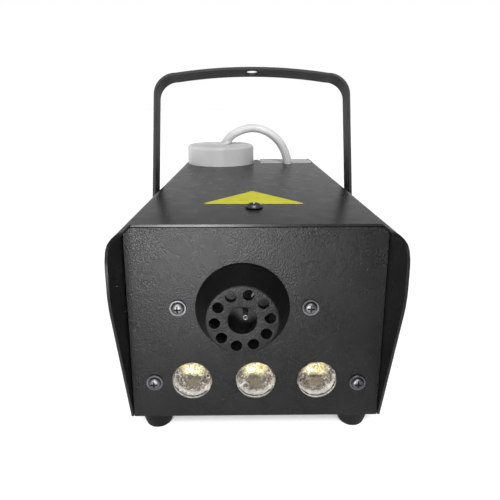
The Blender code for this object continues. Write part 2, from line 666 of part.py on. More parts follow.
def heating_element():
    """Cartridge heater pushed into the block from behind, with its terminal pin."""
    start, collar, pin_start, pin_end = HEATER_FRONT + 0.007, HEATER_REAR + 0.006, 0.1220, 0.1280
    profile = [(0, start), (ELEMENT_R, start), (ELEMENT_R, collar), (0.0022, collar + 0.0010),
               (0.0022, pin_start), (0.0009, pin_start), (0.0009, pin_end), (0, pin_end)]
    return turned("heating_element", profile, 16, 'Y', STEEL_BRIGHT, (ELEMENT_X, 0, ELEMENT_Z))


def heater_plate():
    """Sheet in front of the heater, folded back on top to take the cover's screw."""
    front, back = PLATE_Y, PLATE_Y + SHEET
    low, top, tongue_back = HEATER_LOW - 0.002, PANEL_TOP, 0.040
    left, right = NOZZLE_SCREW_X[0] - 0.0064, NOZZLE_SCREW_X[1] + 0.0063
    outline = [(front, low), (back, low), (back, top - SHEET), (tongue_back, top - SHEET),
               (tongue_back, top), (front, top)]
    obj = slab("heater_plate", outline, left, right, 'X', STEEL_BRIGHT)
    combine(obj, rod("cut_plate_tube", 0.0045, front - OVER, back + OVER, 'Y',
                     location=(JET_X, 0, NOZZLE_Z)))
    for index, across in enumerate(NOZZLE_SCREW_X):
        combine(obj, rod(f"cut_plate_screw_{index}", SCREW_HOLE_R, front - OVER, back + OVER, 'Y',
                         location=(across, 0, NOZZLE_Z), steps=12))
    return combine(obj, rod("cut_plate_top", SCREW_HOLE_R, top - OVER, top + OVER, 'Z',
                            location=(TOP_SCREW[0], TOP_SCREW[1], 0), steps=12))


def standoff(name, across):
    near, far, outer_r = PANEL_BACK, PLATE_Y - GAP, 0.0036
    profile = [(SCREW_HOLE_R, near), (outer_r, near), (outer_r, far), (SCREW_HOLE_R, far)]
    return turned(name, profile, 12, 'Y', STEEL_BRIGHT, (across, 0, NOZZLE_Z), ring=True)


def heater_stand():
    """Folded sheet that carries the heater's rear end on the base."""
    front, bend, back, half = STAND_FRONT, STAND_BEND, STAND_BACK, 0.022
    saddle = HEATER_LOW - GAP
    outline = [(front, FLOOR_TOP), (bend, FLOOR_TOP), (bend, saddle - SHEET), (back, saddle - SHEET),
               (back, saddle), (bend - SHEET, saddle), (bend - SHEET, FLOOR_TOP + SHEET),
               (front, FLOOR_TOP + SHEET)]
    return slab("heater_stand", outline, NOZZLE_X - half, NOZZLE_X + half, 'X', STEEL_BRIGHT)


def thermostat():
    """Snap disc thermostat on top of the heater, with two blade terminals."""
    low, height, disc_r, body_r = HEATER_TOP + GAP, 0.0100, 0.0078, 0.0068
    along = (HEATER_FRONT + HEATER_REAR) / 2
    profile = [(0, low), (disc_r, low), (disc_r, low + 0.0030), (body_r, low + 0.0040),
               (body_r, low + height), (0, low + height)]
    obj = turned("thermostat", profile, 20, 'Z', PLASTIC_BLACK, (NOZZLE_X, along, 0))
    blade_half, blade_top = 0.0025, low + height + 0.0045
    for side in (-1, 1):
        near, far = sorted((side * 0.0040, side * 0.0048))
        join(obj, block(f"blade_{side}", (NOZZLE_X + near, along - blade_half, low + height - 0.0020),
                        (NOZZLE_X + far, along + blade_half, blade_top)))
    return obj


def thermal_fuse():
    """One-shot fuse clipped on the heater, lying across it."""
    radius, wire_r, half = 0.0021, 0.0005, 0.0130
    profile = [(0, -half), (wire_r, -half), (wire_r, -half / 2), (radius, -0.0055), (radius, 0.0045),
               (0.0006, 0.0070), (wire_r, half), (0, half)]
    along = 0.090
    return turned("thermal_fuse", profile, 12, 'X', STEEL_BRIGHT,
                  (NOZZLE_X, along, HEATER_TOP + GAP + radius))


# ---- lamps --------------------------------------------------------------------------------
def lamp_lens(name, across):
    """Clear condenser lens: shallow dome in front, flange behind the panel, hollow rear cone."""
    dome, flange_r, cone_end = 0.0022, LENS_R + 0.0011, 0.0092
    profile = [(0, -dome), (0.0040, -dome + 0.0002), (0.0070, -dome + 0.0009),
               (LENS_R - 0.0003, -0.0004), (LENS_R, 0.0002), (LENS_R, PANEL_BACK),
               (flange_r, PANEL_BACK), (flange_r, 0.0027), (0.0080, 0.0050), (0.0050, cone_end),
               (0.0036, cone_end), (0.0034, 0.0060), (0, 0.0056)]
    return turned(name, profile, 24, 'Y', LENS_CLEAR, (across, 0, LAMP_Z))


def lamp_board():
    """Narrow circuit board with one square emitter behind each lens."""
    margin, half = 0.0118, 0.00875
    emitter_front = LAMP_BOARD_Y - 0.0030
    obj = block("lamp_board", (LAMP_X[0] - margin, LAMP_BOARD_Y, LAMP_Z - half),
                (LAMP_X[-1] + margin, LAMP_BOARD_Y + LAMP_BOARD_T, LAMP_Z + half), BOARD_GREEN)
    for index, across in enumerate(LAMP_X):
        join(obj, block(f"emitter_{index}", (across - EMITTER_HALF, emitter_front, LAMP_Z - EMITTER_HALF),
                        (across + EMITTER_HALF, LAMP_BOARD_Y + LAMP_BOARD_T / 3, LAMP_Z + EMITTER_HALF)))
    return obj


def lamp_bracket():
    front = LAMP_BOARD_Y + LAMP_BOARD_T + GAP
    back, top, margin = front + 0.013, 0.0300, 0.0098
    outline = [(front, FLOOR_TOP), (back, FLOOR_TOP), (back, FLOOR_TOP + SHEET),
               (front + SHEET, FLOOR_TOP + SHEET), (front + SHEET, top), (front, top)]
    return slab("lamp_bracket", outline, LAMP_X[0] - margin, LAMP_X[-1] + margin, 'X', ALUMINIUM)


# ---- pump and hoses -----------------------------------------------------------------------
def pump_body():
    """Plastic pump tube: inlet elbow low at the rear, piston chamber and top outlet barb."""
    base_r, tube_r, neck_r = 0.0105, 0.0088, 0.0078
    profile = [(0, PUMP_LOW), (base_r - 0.0010, PUMP_LOW), (base_r, PUMP_LOW + 0.0010), (base_r, 0.0260),
               (tube_r, 0.0270), (tube_r, 0.0655), (neck_r, 0.0665), (neck_r, 0.0690),
               (PUMP_BARB_R, 0.0700), (PUMP_BARB_R, PUMP_TOP), (0, PUMP_TOP)]
    centre = (PUMP_X, PUMP_Y, 0)
    obj = turned("pump_body", profile, 24, 'Z', PLASTIC_BLACK, centre)
    elbow = 0.0148
    join(obj, rod("pump_elbow", PUMP_BARB_R, 0.0, elbow, 'Y', location=(PUMP_X, PUMP_Y, PUMP_INLET_Z),
                  steps=12))
    combine(obj, rod("bore_chamber", BORE_R, CHAMBER_LOW, CHAMBER_HIGH, 'Z', location=centre, steps=20))
    combine(obj, rod("bore_outlet_way", PUMP_WAY_R, CHAMBER_HIGH - 0.001, PUMP_TOP + OVER, 'Z',
                     location=centre, steps=10))
    combine(obj, rod("bore_inlet_rise", PUMP_WAY_R, PUMP_INLET_Z - 0.0008, CHAMBER_LOW + 0.001, 'Z',
                     location=centre, steps=10))
    return combine(obj, rod("bore_inlet_way", PUMP_WAY_R, -0.0008, elbow + OVER, 'Y',
                            location=(PUMP_X, PUMP_Y, PUMP_INLET_Z), steps=10))


def pump_coil():
    """Winding in its square steel frame, sleeved on the pump tube."""
    half, sleeve_r = COIL_HALF, 0.0091
    outline = rounded(rectangle((PUMP_X - half, PUMP_Y - half), (PUMP_X + half, PUMP_Y + half)), 0.003, 3)
    obj = slab("pump_coil", outline, COIL_LOW, COIL_HIGH, 'Z', COPPER)
    return combine(obj, rod("bore_coil", sleeve_r, COIL_LOW - OVER, COIL_HIGH + OVER, 'Z',
                            location=(PUMP_X, PUMP_Y, 0), steps=24))


def pump_piston():
    """Steel plunger with a hollow core; it slides on the pump's axis."""
    length, edge = PISTON_HIGH - PISTON_LOW, 0.0004
    profile = [(PISTON_BORE_R, 0), (PISTON_R - edge, 0), (PISTON_R, edge), (PISTON_R, length - edge),
               (PISTON_R - edge, length), (PISTON_BORE_R, length)]
    return turned("pump_piston", profile, 20, 'Z', STEEL_BRIGHT, (PUMP_X, PUMP_Y, PISTON_LOW), ring=True)


def pump_spring():
    """Compression spring between the chamber's floor and the piston."""
    turns, per_turn, sides = 4, 9, 4
    wire_r = 0.0006
    coil_r = BORE_R - wire_r - 0.0005
    low, high = SPRING_LOW + wire_r, PISTON_LOW - GAP - wire_r
    form = bmesh.new()
    rows = []
    for step in range(turns * per_turn + 1):
        share = step / (turns * per_turn)
        angle = 2 * math.pi * turns * share
        outward = Vector((math.cos(angle), math.sin(angle), 0))
        centre = outward * coil_r + Vector((0, 0, low + (high - low) * share))
        row = []
        for side in range(sides):
            around = 2 * math.pi * side / sides
            row.append(form.verts.new(centre + outward * wire_r * math.cos(around)
                                      + Vector((0, 0, wire_r * math.sin(around)))))
        rows.append(row)
    form.faces.new(rows[0])
    form.faces.new(rows[-1])
    for first, second in zip(rows, rows[1:]):
        for side in range(sides):
            after = (side + 1) % sides
            form.faces.new((first[side], first[after], second[after], second[side]))
    return place("pump_spring", as_mesh("pump_spring", form), (PUMP_X, PUMP_Y, 0), STEEL_BRIGHT)


def pump_bracket():
    """Folded sheet under the coil, standing on the base beside the pump tube."""
    shelf, half, hole_r = COIL_LOW - GAP, 0.0150, 0.0108
    front, back = PUMP_Y - COIL_HALF, PUMP_Y + COIL_HALF
    outline = [(front, FLOOR_TOP), (front, shelf), (back, shelf), (back, shelf - SHEET),
               (front + SHEET, shelf - SHEET), (front + SHEET, FLOOR_TOP)]
    obj = slab("pump_bracket", outline, PUMP_X - half, PUMP_X + half, 'X', STEEL_BRIGHT)
    return combine(obj, rod("cut_bracket_tube", hole_r, shelf - OVER, shelf + OVER, 'Z',
                            location=(PUMP_X, PUMP_Y, 0), steps=24))


def fluid_hose():
    """Suction hose: up out of the tank through the cap, over, and down to the pump's inlet."""
    top = CAP_TOP
    route = [(CAP_X - 0.0125, CAP_Y + 0.0010, 0.0560), (CAP_X - 0.0120, CAP_Y + 0.0010, 0.0700),
             (CAP_X - 0.0105, CAP_Y + 0.0008, 0.0850), (CAP_X - 0.0070, CAP_Y + 0.0004, 0.0985),
             (CAP_X + HOSE_OUT, CAP_Y, top - 0.0012), (CAP_X + 0.0112, CAP_Y - 0.0005, 0.1210),
             (CAP_X + 0.0260, CAP_Y - 0.0015, 0.1264), (CAP_X + 0.0400, CAP_Y - 0.0035, 0.1242),
             (CAP_X + 0.0520, CAP_Y - 0.0060, 0.1150), (HOSE_X - 0.0008, HOSE_Y + 0.0010, 0.1010),
             (HOSE_X, HOSE_Y, 0.0870), (HOSE_X, HOSE_Y - 0.0035, 0.0740),
             (HOSE_X, DIVIDER_Y + 0.0095, 0.0635), (HOSE_X, DIVIDER_Y + 0.0006, HOSE_THROUGH_Z),
             (HOSE_X, DIVIDER_Y - 0.0075, 0.0505), (HOSE_X, DIVIDER_Y - 0.0105, 0.0390),
             (HOSE_X, DIVIDER_Y - 0.0095, 0.0270), (HOSE_X, DIVIDER_Y - 0.0120, 0.0180),
             (HOSE_X, PUMP_Y + 0.0195, PUMP_INLET_Z), (HOSE_X, PUMP_Y + 0.0155, PUMP_INLET_Z)]
    return hose_curve("fluid_hose", route, HOSE_R, PLASTIC_WHITE)


def pickup_filter():
    """Weighted strainer on the hose's lower end, close above the tank's floor."""
    low, height = TANK_FLOOR + 0.0008, 0.0085
    profile = [(0, low), (FILTER_R, low), (FILTER_R, low + height - 0.0015),
               (FILTER_R - 0.0014, low + height), (0, low + height)]
    return turned("pickup_filter", profile, 14, 'Z', BRASS, (CAP_X - 0.0126, CAP_Y + 0.0010, 0))


def delivery_hose():
    """Hose from the pump's outlet to the heater's inlet."""
    route = [(PUMP_X, PUMP_Y, PUMP_TOP + GAP), (PUMP_X - 0.0003, PUMP_Y - 0.0003, 0.0785),
             (PUMP_X - 0.0040, PUMP_Y - 0.0015, 0.0850), (PUMP_X - 0.0130, PUMP_Y - 0.0030, 0.0880),
             (PUMP_X - 0.0240, PUMP_Y - 0.0040, 0.0830), (PUMP_X - 0.0330, PUMP_Y - 0.0060, 0.0720),
             (NOZZLE_X + 0.0010, PUMP_Y - 0.0120, 0.0610), (NOZZLE_X, PUMP_Y - 0.0220, NOZZLE_Z),
             (NOZZLE_X, HEATER_REAR - 0.0100, NOZZLE_Z)]
    return hose_curve("delivery_hose", route, DELIVERY_R, PLASTIC_WHITE)


# ---- tank ---------------------------------------------------------------------------------
def tank_outline(inset):
    """L-shaped plan: deep on the cap's side, shallow where the hose goes down."""
    left, right, step_x = inset - TANK_HALF, TANK_HALF - inset, TANK_STEP_X - inset
    front, step_y, back = DIVIDER_Y + 0.0020 + inset, TANK_STEP_Y + inset, TANK_BACK - inset
    corners = [(left, front), (step_x, front), (step_x, step_y), (right, step_y), (right, back),
               (left, back)]
    outer_r, hollow_r = 0.006 - inset, 0.003 + inset
    return rounded(corners, [outer_r, outer_r, hollow_r, outer_r, outer_r, outer_r], 3)


def bottle():
    """Blow-moulded tank with a raised shoulder in the cover's window and a wide neck."""
    obj = slab("bottle", tank_outline(0), TANK_LOW, TANK_TOP, 'Z', PLASTIC_WHITE)
    inside, neck_wall = TANK_TOP - TANK_WALL / 2, 0.0025
    shoulder = rounded(rectangle((WINDOW_LEFT + 0.0010, WINDOW_FRONT + 0.0030),
                                 (WINDOW_RIGHT - 0.0008, SHOULDER_BACK)), 0.002, 3)
    join(obj, slab("shoulder", shoulder, inside, SHOULDER_TOP, 'Z'))
    join(obj, rod("neck", NECK_R, inside, NECK_TOP, 'Z', location=(CAP_X, CAP_Y, 0), steps=36))
    combine(obj, slab("hollow_tank", tank_outline(TANK_WALL), TANK_FLOOR, TANK_TOP - TANK_WALL, 'Z'))
    combine(obj, rod("hollow_neck", NECK_R - neck_wall, TANK_TOP - TANK_WALL * 2, NECK_TOP + OVER, 'Z',
                     location=(CAP_X, CAP_Y, 0), steps=36))
    return obj


def bottle_cap():
    """Wide screw cap with a round top edge; the hose's grommet sits in its centre hole."""
    ceiling, inner_r = CAP_TOP - 0.0022, NECK_R + 0.0006
    edge = arc((CAP_R - CAP_EDGE_R, CAP_TOP - CAP_EDGE_R), CAP_EDGE_R, 0, 90, 4)
    profile = [(inner_r, CAP_LOW), (CAP_R, CAP_LOW)] + edge
    profile += [(CAP_BORE_R, CAP_TOP), (CAP_BORE_R, ceiling), (inner_r, ceiling)]
    profile = [(radius, up - CAP_LOW) for radius, up in profile]
    return turned("bottle_cap", profile, 40, 'Z', PLASTIC_WHITE, (CAP_X, CAP_Y, CAP_LOW), ring=True)


def cap_grommet():
    """Soft plug in the cap's centre, holding the slanting hose while the cap turns round it."""
    radius = CAP_BORE_R - GAP
    low = CAP_TOP - 0.0034
    profile = [(0, low), (radius, low), (radius, CAP_TOP + 0.0006), (radius - 0.0008, CAP_TOP + 0.0014),
               (0, CAP_TOP + 0.0016)]
    obj = turned("cap_grommet", profile, 24, 'Z', PLASTIC_WHITE, (CAP_X, CAP_Y, 0))
    slanting = rod("cut_grommet", HOSE_R + 0.0008, -OVER * 2, OVER * 2, 'Z',
                   location=(CAP_X + HOSE_OUT, CAP_Y, CAP_TOP - 0.0012), steps=14)
    slanting.rotation_euler.y = HOSE_SLANT
    return combine(obj, slanting)


# ---- electrics ----------------------------------------------------------------------------
def control_board():
    """Circuit board on four legs, with its transformer, relay, capacitor and terminals."""
    low = 0.0080
    top = low + 0.0016
    left, right, front, back = -0.0540, 0.0040, 0.1180, 0.1760
    obj = block("control_board", (left, front, low), (right, back, top), BOARD_GREEN)
    for index, across in enumerate((left + 0.004, right - 0.004)):
        for end, along in enumerate((front + 0.004, back - 0.004)):
            join(obj, rod(f"leg_{index}_{end}", 0.0024, FLOOR_TOP, low + 0.0008, 'Z',
                          location=(across, along, 0), steps=8))
    parts = (("transformer", (-0.0500, 0.1240), (-0.0260, 0.1480), 0.0220),
             ("relay", (-0.0180, 0.1240), (-0.0030, 0.1430), 0.0150),
             ("terminals", (-0.0500, 0.1600), (-0.0140, 0.1700), 0.0120))
    for name, near, far, height in parts:
        join(obj, slab("part_" + name, rectangle(near, far), top - 0.0005, top + height, 'Z'))
    return join(obj, rod("part_capacitor", 0.0055, top - 0.0005, top + 0.0180, 'Z',
                         location=(-0.0060, 0.1560, 0), steps=16))


def inlet_socket():
    """Three-pole mains inlet: flange outside the rear panel, open cavity towards the rear."""
    (left, low), (right, high) = INLET_HOLE
    back = REAR_OUT
    rim = 0.0018
    flange = rounded(rectangle((left - rim, low - rim), (right + rim, high + rim)), 0.002, 2)
    obj = slab("inlet_socket", flange, back, back + 0.0025, 'Y', PLASTIC_BLACK)
    body = rectangle((left + GAP, low + GAP), (right - GAP, high - GAP))
    join(obj, slab("inlet_body", body, INLET_BOTTOM - 0.0080, back + 0.0010, 'Y'))
    side, level, corner = 0.0024, 0.0020, 0.0040
    well = [(left + side, low + level), (right - side, low + level),
            (right - side, high - level - corner), (right - side - corner, high - level),
            (left + side + corner, high - level), (left + side, high - level - corner)]
    return combine(obj, slab("inlet_well", well, INLET_BOTTOM, back + OVER, 'Y'))


def inlet_contacts():
    """Three contact blades on their carrier at the bottom of the inlet."""
    middle = (INLET_HOLE[0][0] + INLET_HOLE[1][0]) / 2
    carrier = INLET_BOTTOM + GAP
    plate = rectangle((middle - 0.0095, FITTING_Z - 0.0050), (middle + 0.0095, FITTING_Z + 0.0045))
    obj = slab("inlet_contacts", plate, carrier, carrier + 0.0010, 'Y', BRASS)
    pitch, rise, half_t, half_h = 0.0070, 0.0020, 0.0010, 0.0020
    for index, (across, up) in enumerate(((-pitch, -rise), (0.0, rise), (pitch, -rise))):
        blade = rectangle((middle + across - half_t, FITTING_Z + up - half_h),
                          (middle + across + half_t, FITTING_Z + up + half_h))
        join(obj, slab(f"blade_in_{index}", blade, carrier + 0.0005, CASE_L - 0.0010, 'Y'))
    return obj


def switch_frame():
    (left, low), (right, high) = SWITCH_HOLE
    back, rim = REAR_OUT, 0.0012
    bezel = rounded(rectangle((left - rim, low - rim), (right + rim, high + rim)), 0.0015, 2)
    obj = slab("switch_frame", bezel, back, back + 0.0018, 'Y', PLASTIC_BLACK)
    body = rectangle((left + GAP, low + GAP), (right - GAP, high - GAP))
    join(obj, slab("switch_body", body, CASE_L - 0.0150, back + 0.0010, 'Y'))
    side, level = SWITCH_WALL
    well = rectangle((left + side, low + level), (right - side, high - level))
    return combine(obj, slab("switch_well", well, CASE_L - 0.0080, back + OVER, 'Y'))


def power_rocker():
    """Rocker key; its axis runs up and down, and it rests tilted in the off position."""
    (left, low), (right, high) = SWITCH_HOLE
    side, level = SWITCH_WALL
    middle = (left + right) / 2
    half = (right - left) / 2 - side - 0.0013
    crest, hollow, keel = 0.0045, 0.0036, -0.0050
    outline = [(-half, crest), (-half * 0.55, hollow), (0, hollow - 0.0003), (half * 0.55, hollow),
               (half, crest), (half - 0.0012, -0.0010), (0.0022, keel), (-0.0022, keel),
               (-half + 0.0012, -0.0010)]
    obj = slab("power_rocker", outline, low + level + GAP, high - level - GAP, 'Z', PLASTIC_BLACK,
               (middle, ROCKER_Y, 0))
    obj.rotation_euler.z = ROCKER_TILT
    return obj


def remote_socket():
    """Round five-pole socket for the wired remote, with a threaded ring."""
    front, back, lip = CASE_L - 0.0120, REAR_OUT, REAR_OUT + 0.0050
    ring_r, well_r, well_floor = 0.0092, 0.0058, CASE_L - 0.0050
    profile = [(0, front), (SOCKET_R, front), (SOCKET_R, back), (ring_r, back), (ring_r, back + 0.0020),
               (ring_r - 0.0012, lip), (well_r, lip), (well_r, well_floor), (0, well_floor)]
    return turned("remote_socket", profile, 24, 'Y', STEEL_BRIGHT, (SOCKET_X, 0, FITTING_Z))


# ---- assembly -----------------------------------------------------------------------------
def build():
    cover()
    front_panel()
    base_tray()
    rear_panel()
    bottle_shelf()
    for end, along in zip(("front", "rear"), FOOT_Y):
        for side, sign in (("left", -1), ("right", 1)):
            foot(f"foot_{end}_{side}", sign * FOOT_X, along)
    screws()

    handle()
    for side, sign in (("left", -1), ("right", 1)):
        knob(f"knob_{side}", sign)
        pivot_washer(f"pivot_washer_{side}", sign)
        pivot_nut(f"pivot_nut_{side}", sign)

    nozzle_cap()
    nozzle_tube()
    heater_block()
    heating_element()
    heater_plate()
    for side, across in zip(("left", "right"), NOZZLE_SCREW_X):
        standoff(f"standoff_{side}", across)
    heater_stand()
    thermostat()
    thermal_fuse()

    for name, across in zip(("left", "middle", "right"), LAMP_X):
        lamp_lens(f"lamp_lens_{name}", across)
    lamp_board()
    lamp_bracket()

    pump_body()
    pump_coil()
    pump_piston()
    pump_spring()
    pump_bracket()
    fluid_hose()
    pickup_filter()
    delivery_hose()

    bottle()
    bottle_cap()
    cap_grommet()

    control_board()
    inlet_socket()
    inlet_contacts()
    switch_frame()
    power_rocker()
    remote_socket()


clear_scene()
FRAME = case_frame()
build()
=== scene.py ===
"""Looks of the compact fog machine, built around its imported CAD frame.

All lengths are in metres, in the CAD's own frame: +X right seen from the front, +Y rear, +Z up.
"""
import math

import bmesh
import bpy
from mathutils import Matrix, Vector, noise


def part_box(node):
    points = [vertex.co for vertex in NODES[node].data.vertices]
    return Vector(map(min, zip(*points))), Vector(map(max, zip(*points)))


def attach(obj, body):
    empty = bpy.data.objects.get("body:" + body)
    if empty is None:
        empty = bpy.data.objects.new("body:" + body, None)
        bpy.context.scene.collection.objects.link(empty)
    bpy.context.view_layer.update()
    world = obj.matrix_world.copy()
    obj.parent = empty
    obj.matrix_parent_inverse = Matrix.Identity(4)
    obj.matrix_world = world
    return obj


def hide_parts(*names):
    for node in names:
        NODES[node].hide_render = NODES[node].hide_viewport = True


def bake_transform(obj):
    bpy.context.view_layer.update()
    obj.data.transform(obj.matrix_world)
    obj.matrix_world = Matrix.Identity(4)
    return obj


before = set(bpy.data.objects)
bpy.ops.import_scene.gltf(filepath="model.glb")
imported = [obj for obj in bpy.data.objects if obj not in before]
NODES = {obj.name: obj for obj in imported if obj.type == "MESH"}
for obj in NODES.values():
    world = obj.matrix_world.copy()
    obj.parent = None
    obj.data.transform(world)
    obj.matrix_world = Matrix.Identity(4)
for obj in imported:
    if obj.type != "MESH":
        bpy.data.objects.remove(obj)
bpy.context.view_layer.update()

PANEL_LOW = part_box("front_panel")[0]
FRONT_Y = PANEL_LOW.y          # the front panel's face
UNDERSIDE_Z = PANEL_LOW.z      # the case's underside
HEAD_RISE = 0.0027             # height of a screw head over its sheet


def at(across, along, up):
    """A point given from the front panel's face and the case's underside."""
    return Vector((across, FRONT_Y + along, UNDERSIDE_Z + up))


def middle_of(node):
    """The middle of a CAD node's box."""
    low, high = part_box(node)
    return (low + high) / 2


# ---- materials ----------------------------------------------------------------------------
class Look:
    """A Principled material whose colour, roughness and relief vary over the surface."""

    def __init__(self, name, colour, roughness, metallic=0.0, specular=0.5):
        self.material = bpy.data.materials.new(name)
        self.material.use_nodes = True
        self.tree = self.material.node_tree
        self.shader = self.tree.nodes["Principled BSDF"]
        self.set("Base Color", (*colour, 1.0))
        self.set("Roughness", roughness)
        self.set("Metallic", metallic)
        self.set("Specular IOR Level", specular)
        self.place = self.node("ShaderNodeTexCoord").outputs["Object"]
        self.relief = None

    def set(self, socket, value):
        """Give one of the shader's own sockets a fixed value."""
        self.shader.inputs[socket].default_value = value

    def node(self, kind, **values):
        """A new node in this material, with the settings given."""
        made = self.tree.nodes.new(kind)
        for key, value in values.items():
            setattr(made, key, value)
        return made

    def link(self, output, target):
        self.tree.links.new(output, target)

    def noise(self, scale, detail=3.0, stretch=None, distortion=0.0):
        """A grey noise field; the scale is in waves per metre."""
        place = self.place
        if stretch:
            mapping = self.node("ShaderNodeMapping")
            mapping.inputs["Scale"].default_value = stretch
            self.link(place, mapping.inputs["Vector"])
            place = mapping.outputs["Vector"]
        made = self.node("ShaderNodeTexNoise")
        made.inputs["Scale"].default_value = scale
        made.inputs["Detail"].default_value = detail
        made.inputs["Distortion"].default_value = distortion
        self.link(place, made.inputs["Vector"])
        return made.outputs["Fac"]

    def cells(self, scale, feature="F1"):
        """The distance to the nearest of many scattered points."""
        made = self.node("ShaderNodeTexVoronoi", feature=feature)
        made.inputs["Scale"].default_value = scale
        self.link(self.place, made.inputs["Vector"])
        return made.outputs["Distance"]

    def ramp(self, field, stops):
        """Colours or greys along a field; stops are (position, colour)."""
        made = self.node("ShaderNodeValToRGB")
        steps = made.color_ramp.elements
        while len(steps) < len(stops):
            steps.new(0.5)
        for step, (position, colour) in zip(steps, stops):
            step.position = position
            step.color = (*colour, 1.0) if hasattr(colour, "__len__") else (colour,) * 3 + (1.0,)
        self.link(field, made.inputs["Fac"])
        return made.outputs["Color"]

    def blend(self, factor, first, second):
        """The first colour turning into the second as the factor goes from 0 to 1."""
        made = self.node("ShaderNodeMix", data_type='RGBA')
        self.link(factor, made.inputs["Factor"])
        for source, socket in ((first, made.inputs["A"]), (second, made.inputs["B"])):
            if hasattr(source, "__len__"):
                socket.default_value = (*source, 1.0)
            else:
                self.link(source, socket)
        return made.outputs["Result"]

    def colour_from(self, output):
        self.link(output, self.shader.inputs["Base Color"])

    def roughness_from(self, field, low, high):
        """Roughness between low and high, following a field."""
        made = self.node("ShaderNodeMapRange")
        made.inputs["To Min"].default_value = low
        made.inputs["To Max"].default_value = high
        self.link(field, made.inputs["Value"])
        self.link(made.outputs["Result"], self.shader.inputs["Roughness"])

    def bump(self, field, distance, strength=1.0):
        """One more layer of relief over those already added."""
        made = self.node("ShaderNodeBump")
        made.inputs["Distance"].default_value = distance
        made.inputs["Strength"].default_value = strength
        self.link(field, made.inputs["Height"])
        if self.relief is not None:
            self.link(self.relief, made.inputs["Normal"])
        self.relief = made.outputs["Normal"]
        self.link(self.relief, self.shader.inputs["Normal"])

    def edge_wear(self, base, worn, amount):
        """A lighter colour where corners stand proud."""
        geometry = self.node("ShaderNodeNewGeometry")
        edges = self.ramp(geometry.outputs["Pointiness"], ((0.52, 0.0), (0.60, amount)))
        return self.blend(edges, base, worn)


def painted(name, dark, light, roughness, grain, depth, specular=0.35, peel_depth=0.0001):
    """Powder coat or paint on sheet: fine grain, faint orange peel and specks of dust."""
    look = Look(name, dark, roughness, specular=specular)
    clouds = look.noise(45.0, 4.0)
    speck = look.noise(grain, 2.0)
    tint = look.ramp(clouds, ((0.30, dark), (0.75, light)))
    brighter = tuple(min(1.0, 2.2 * part + 0.004) for part in light)
    tint = look.blend(look.ramp(speck, ((0.60, 0.0), (0.78, 0.6))), tint, brighter)
    dust = tuple(3.2 * part + 0.01 for part in light)
    look.colour_from(look.blend(look.ramp(look.noise(1600.0, 2.0), ((0.68, 0.0), (0.78, 0.45))), tint, dust))
    look.roughness_from(look.noise(120.0, 5.0), roughness - 0.06, roughness + 0.08)
    look.bump(look.noise(260.0, 2.0), peel_depth, 0.25)
    look.bump(look.noise(grain, 3.0), depth)
    return look.material


def moulded(name, dark, light, roughness, grain=1500.0, depth=0.00006, specular=0.4):
    """Moulded plastic or rubber: fine spark-eroded grain and slight flow marks."""
    look = Look(name, dark, roughness, specular=specular)
    flow = look.noise(60.0, 3.0, stretch=(1.0, 1.0, 0.35), distortion=0.6)
    look.colour_from(look.edge_wear(look.ramp(flow, ((0.3, dark), (0.7, light))),
                                    tuple(2.0 * part + 0.01 for part in light), 0.3))
    look.roughness_from(look.noise(200.0, 4.0), roughness - 0.08, roughness + 0.08)
    look.bump(look.noise(grain, 2.0), depth)
    return look.material


def metal(name, dark, light, roughness, stretch=(1.0, 12.0, 1.0), scale=260.0, depth=0.00002):
    """Bare or plated metal with fine rolling lines and tarnish."""
    look = Look(name, dark, roughness, metallic=1.0)
    lines = look.noise(scale, 5.0, stretch=stretch)
    stains = look.noise(90.0, 4.0, distortion=0.8)
    tint = look.blend(look.ramp(stains, ((0.35, 0.0), (0.7, 1.0))), dark, light)
    look.colour_from(look.blend(look.ramp(lines, ((0.35, 0.0), (0.75, 0.45))), tint, light))
    look.roughness_from(stains, roughness - 0.1, roughness + 0.14)
    look.bump(lines, depth)
    return look.material


def translucent(name, tint, light, roughness, scatter, grain=500.0, depth=0.00004, stretch=None):
    """Milky plastic that lets light in a little way."""
    look = Look(name, tint, roughness, specular=0.4)
    clouds = look.noise(70.0, 4.0, stretch=stretch, distortion=0.4)
    look.colour_from(look.ramp(clouds, ((0.3, tint), (0.7, light))))
    look.set("Subsurface Weight", scatter)
    look.set("Subsurface Radius", (1.0, 0.95, 0.9))
    look.set("Subsurface Scale", 0.002)
    look.roughness_from(look.noise(160.0, 3.0), roughness - 0.07, roughness + 0.08)
    look.bump(look.noise(grain, 3.0), depth)
    return look.material


def clear_lens():
    """Clear moulded plastic with a faintly pebbled face."""
    look = Look("lens_clear", (1.0, 0.995, 0.98), 0.03, specular=0.2)
    look.set("Transmission Weight", 1.0)
    look.set("IOR", 1.42)
    look.bump(look.cells(900.0, "SMOOTH_F1"), 0.00009)
    look.roughness_from(look.noise(300.0), 0.01, 0.07)
    return look.material


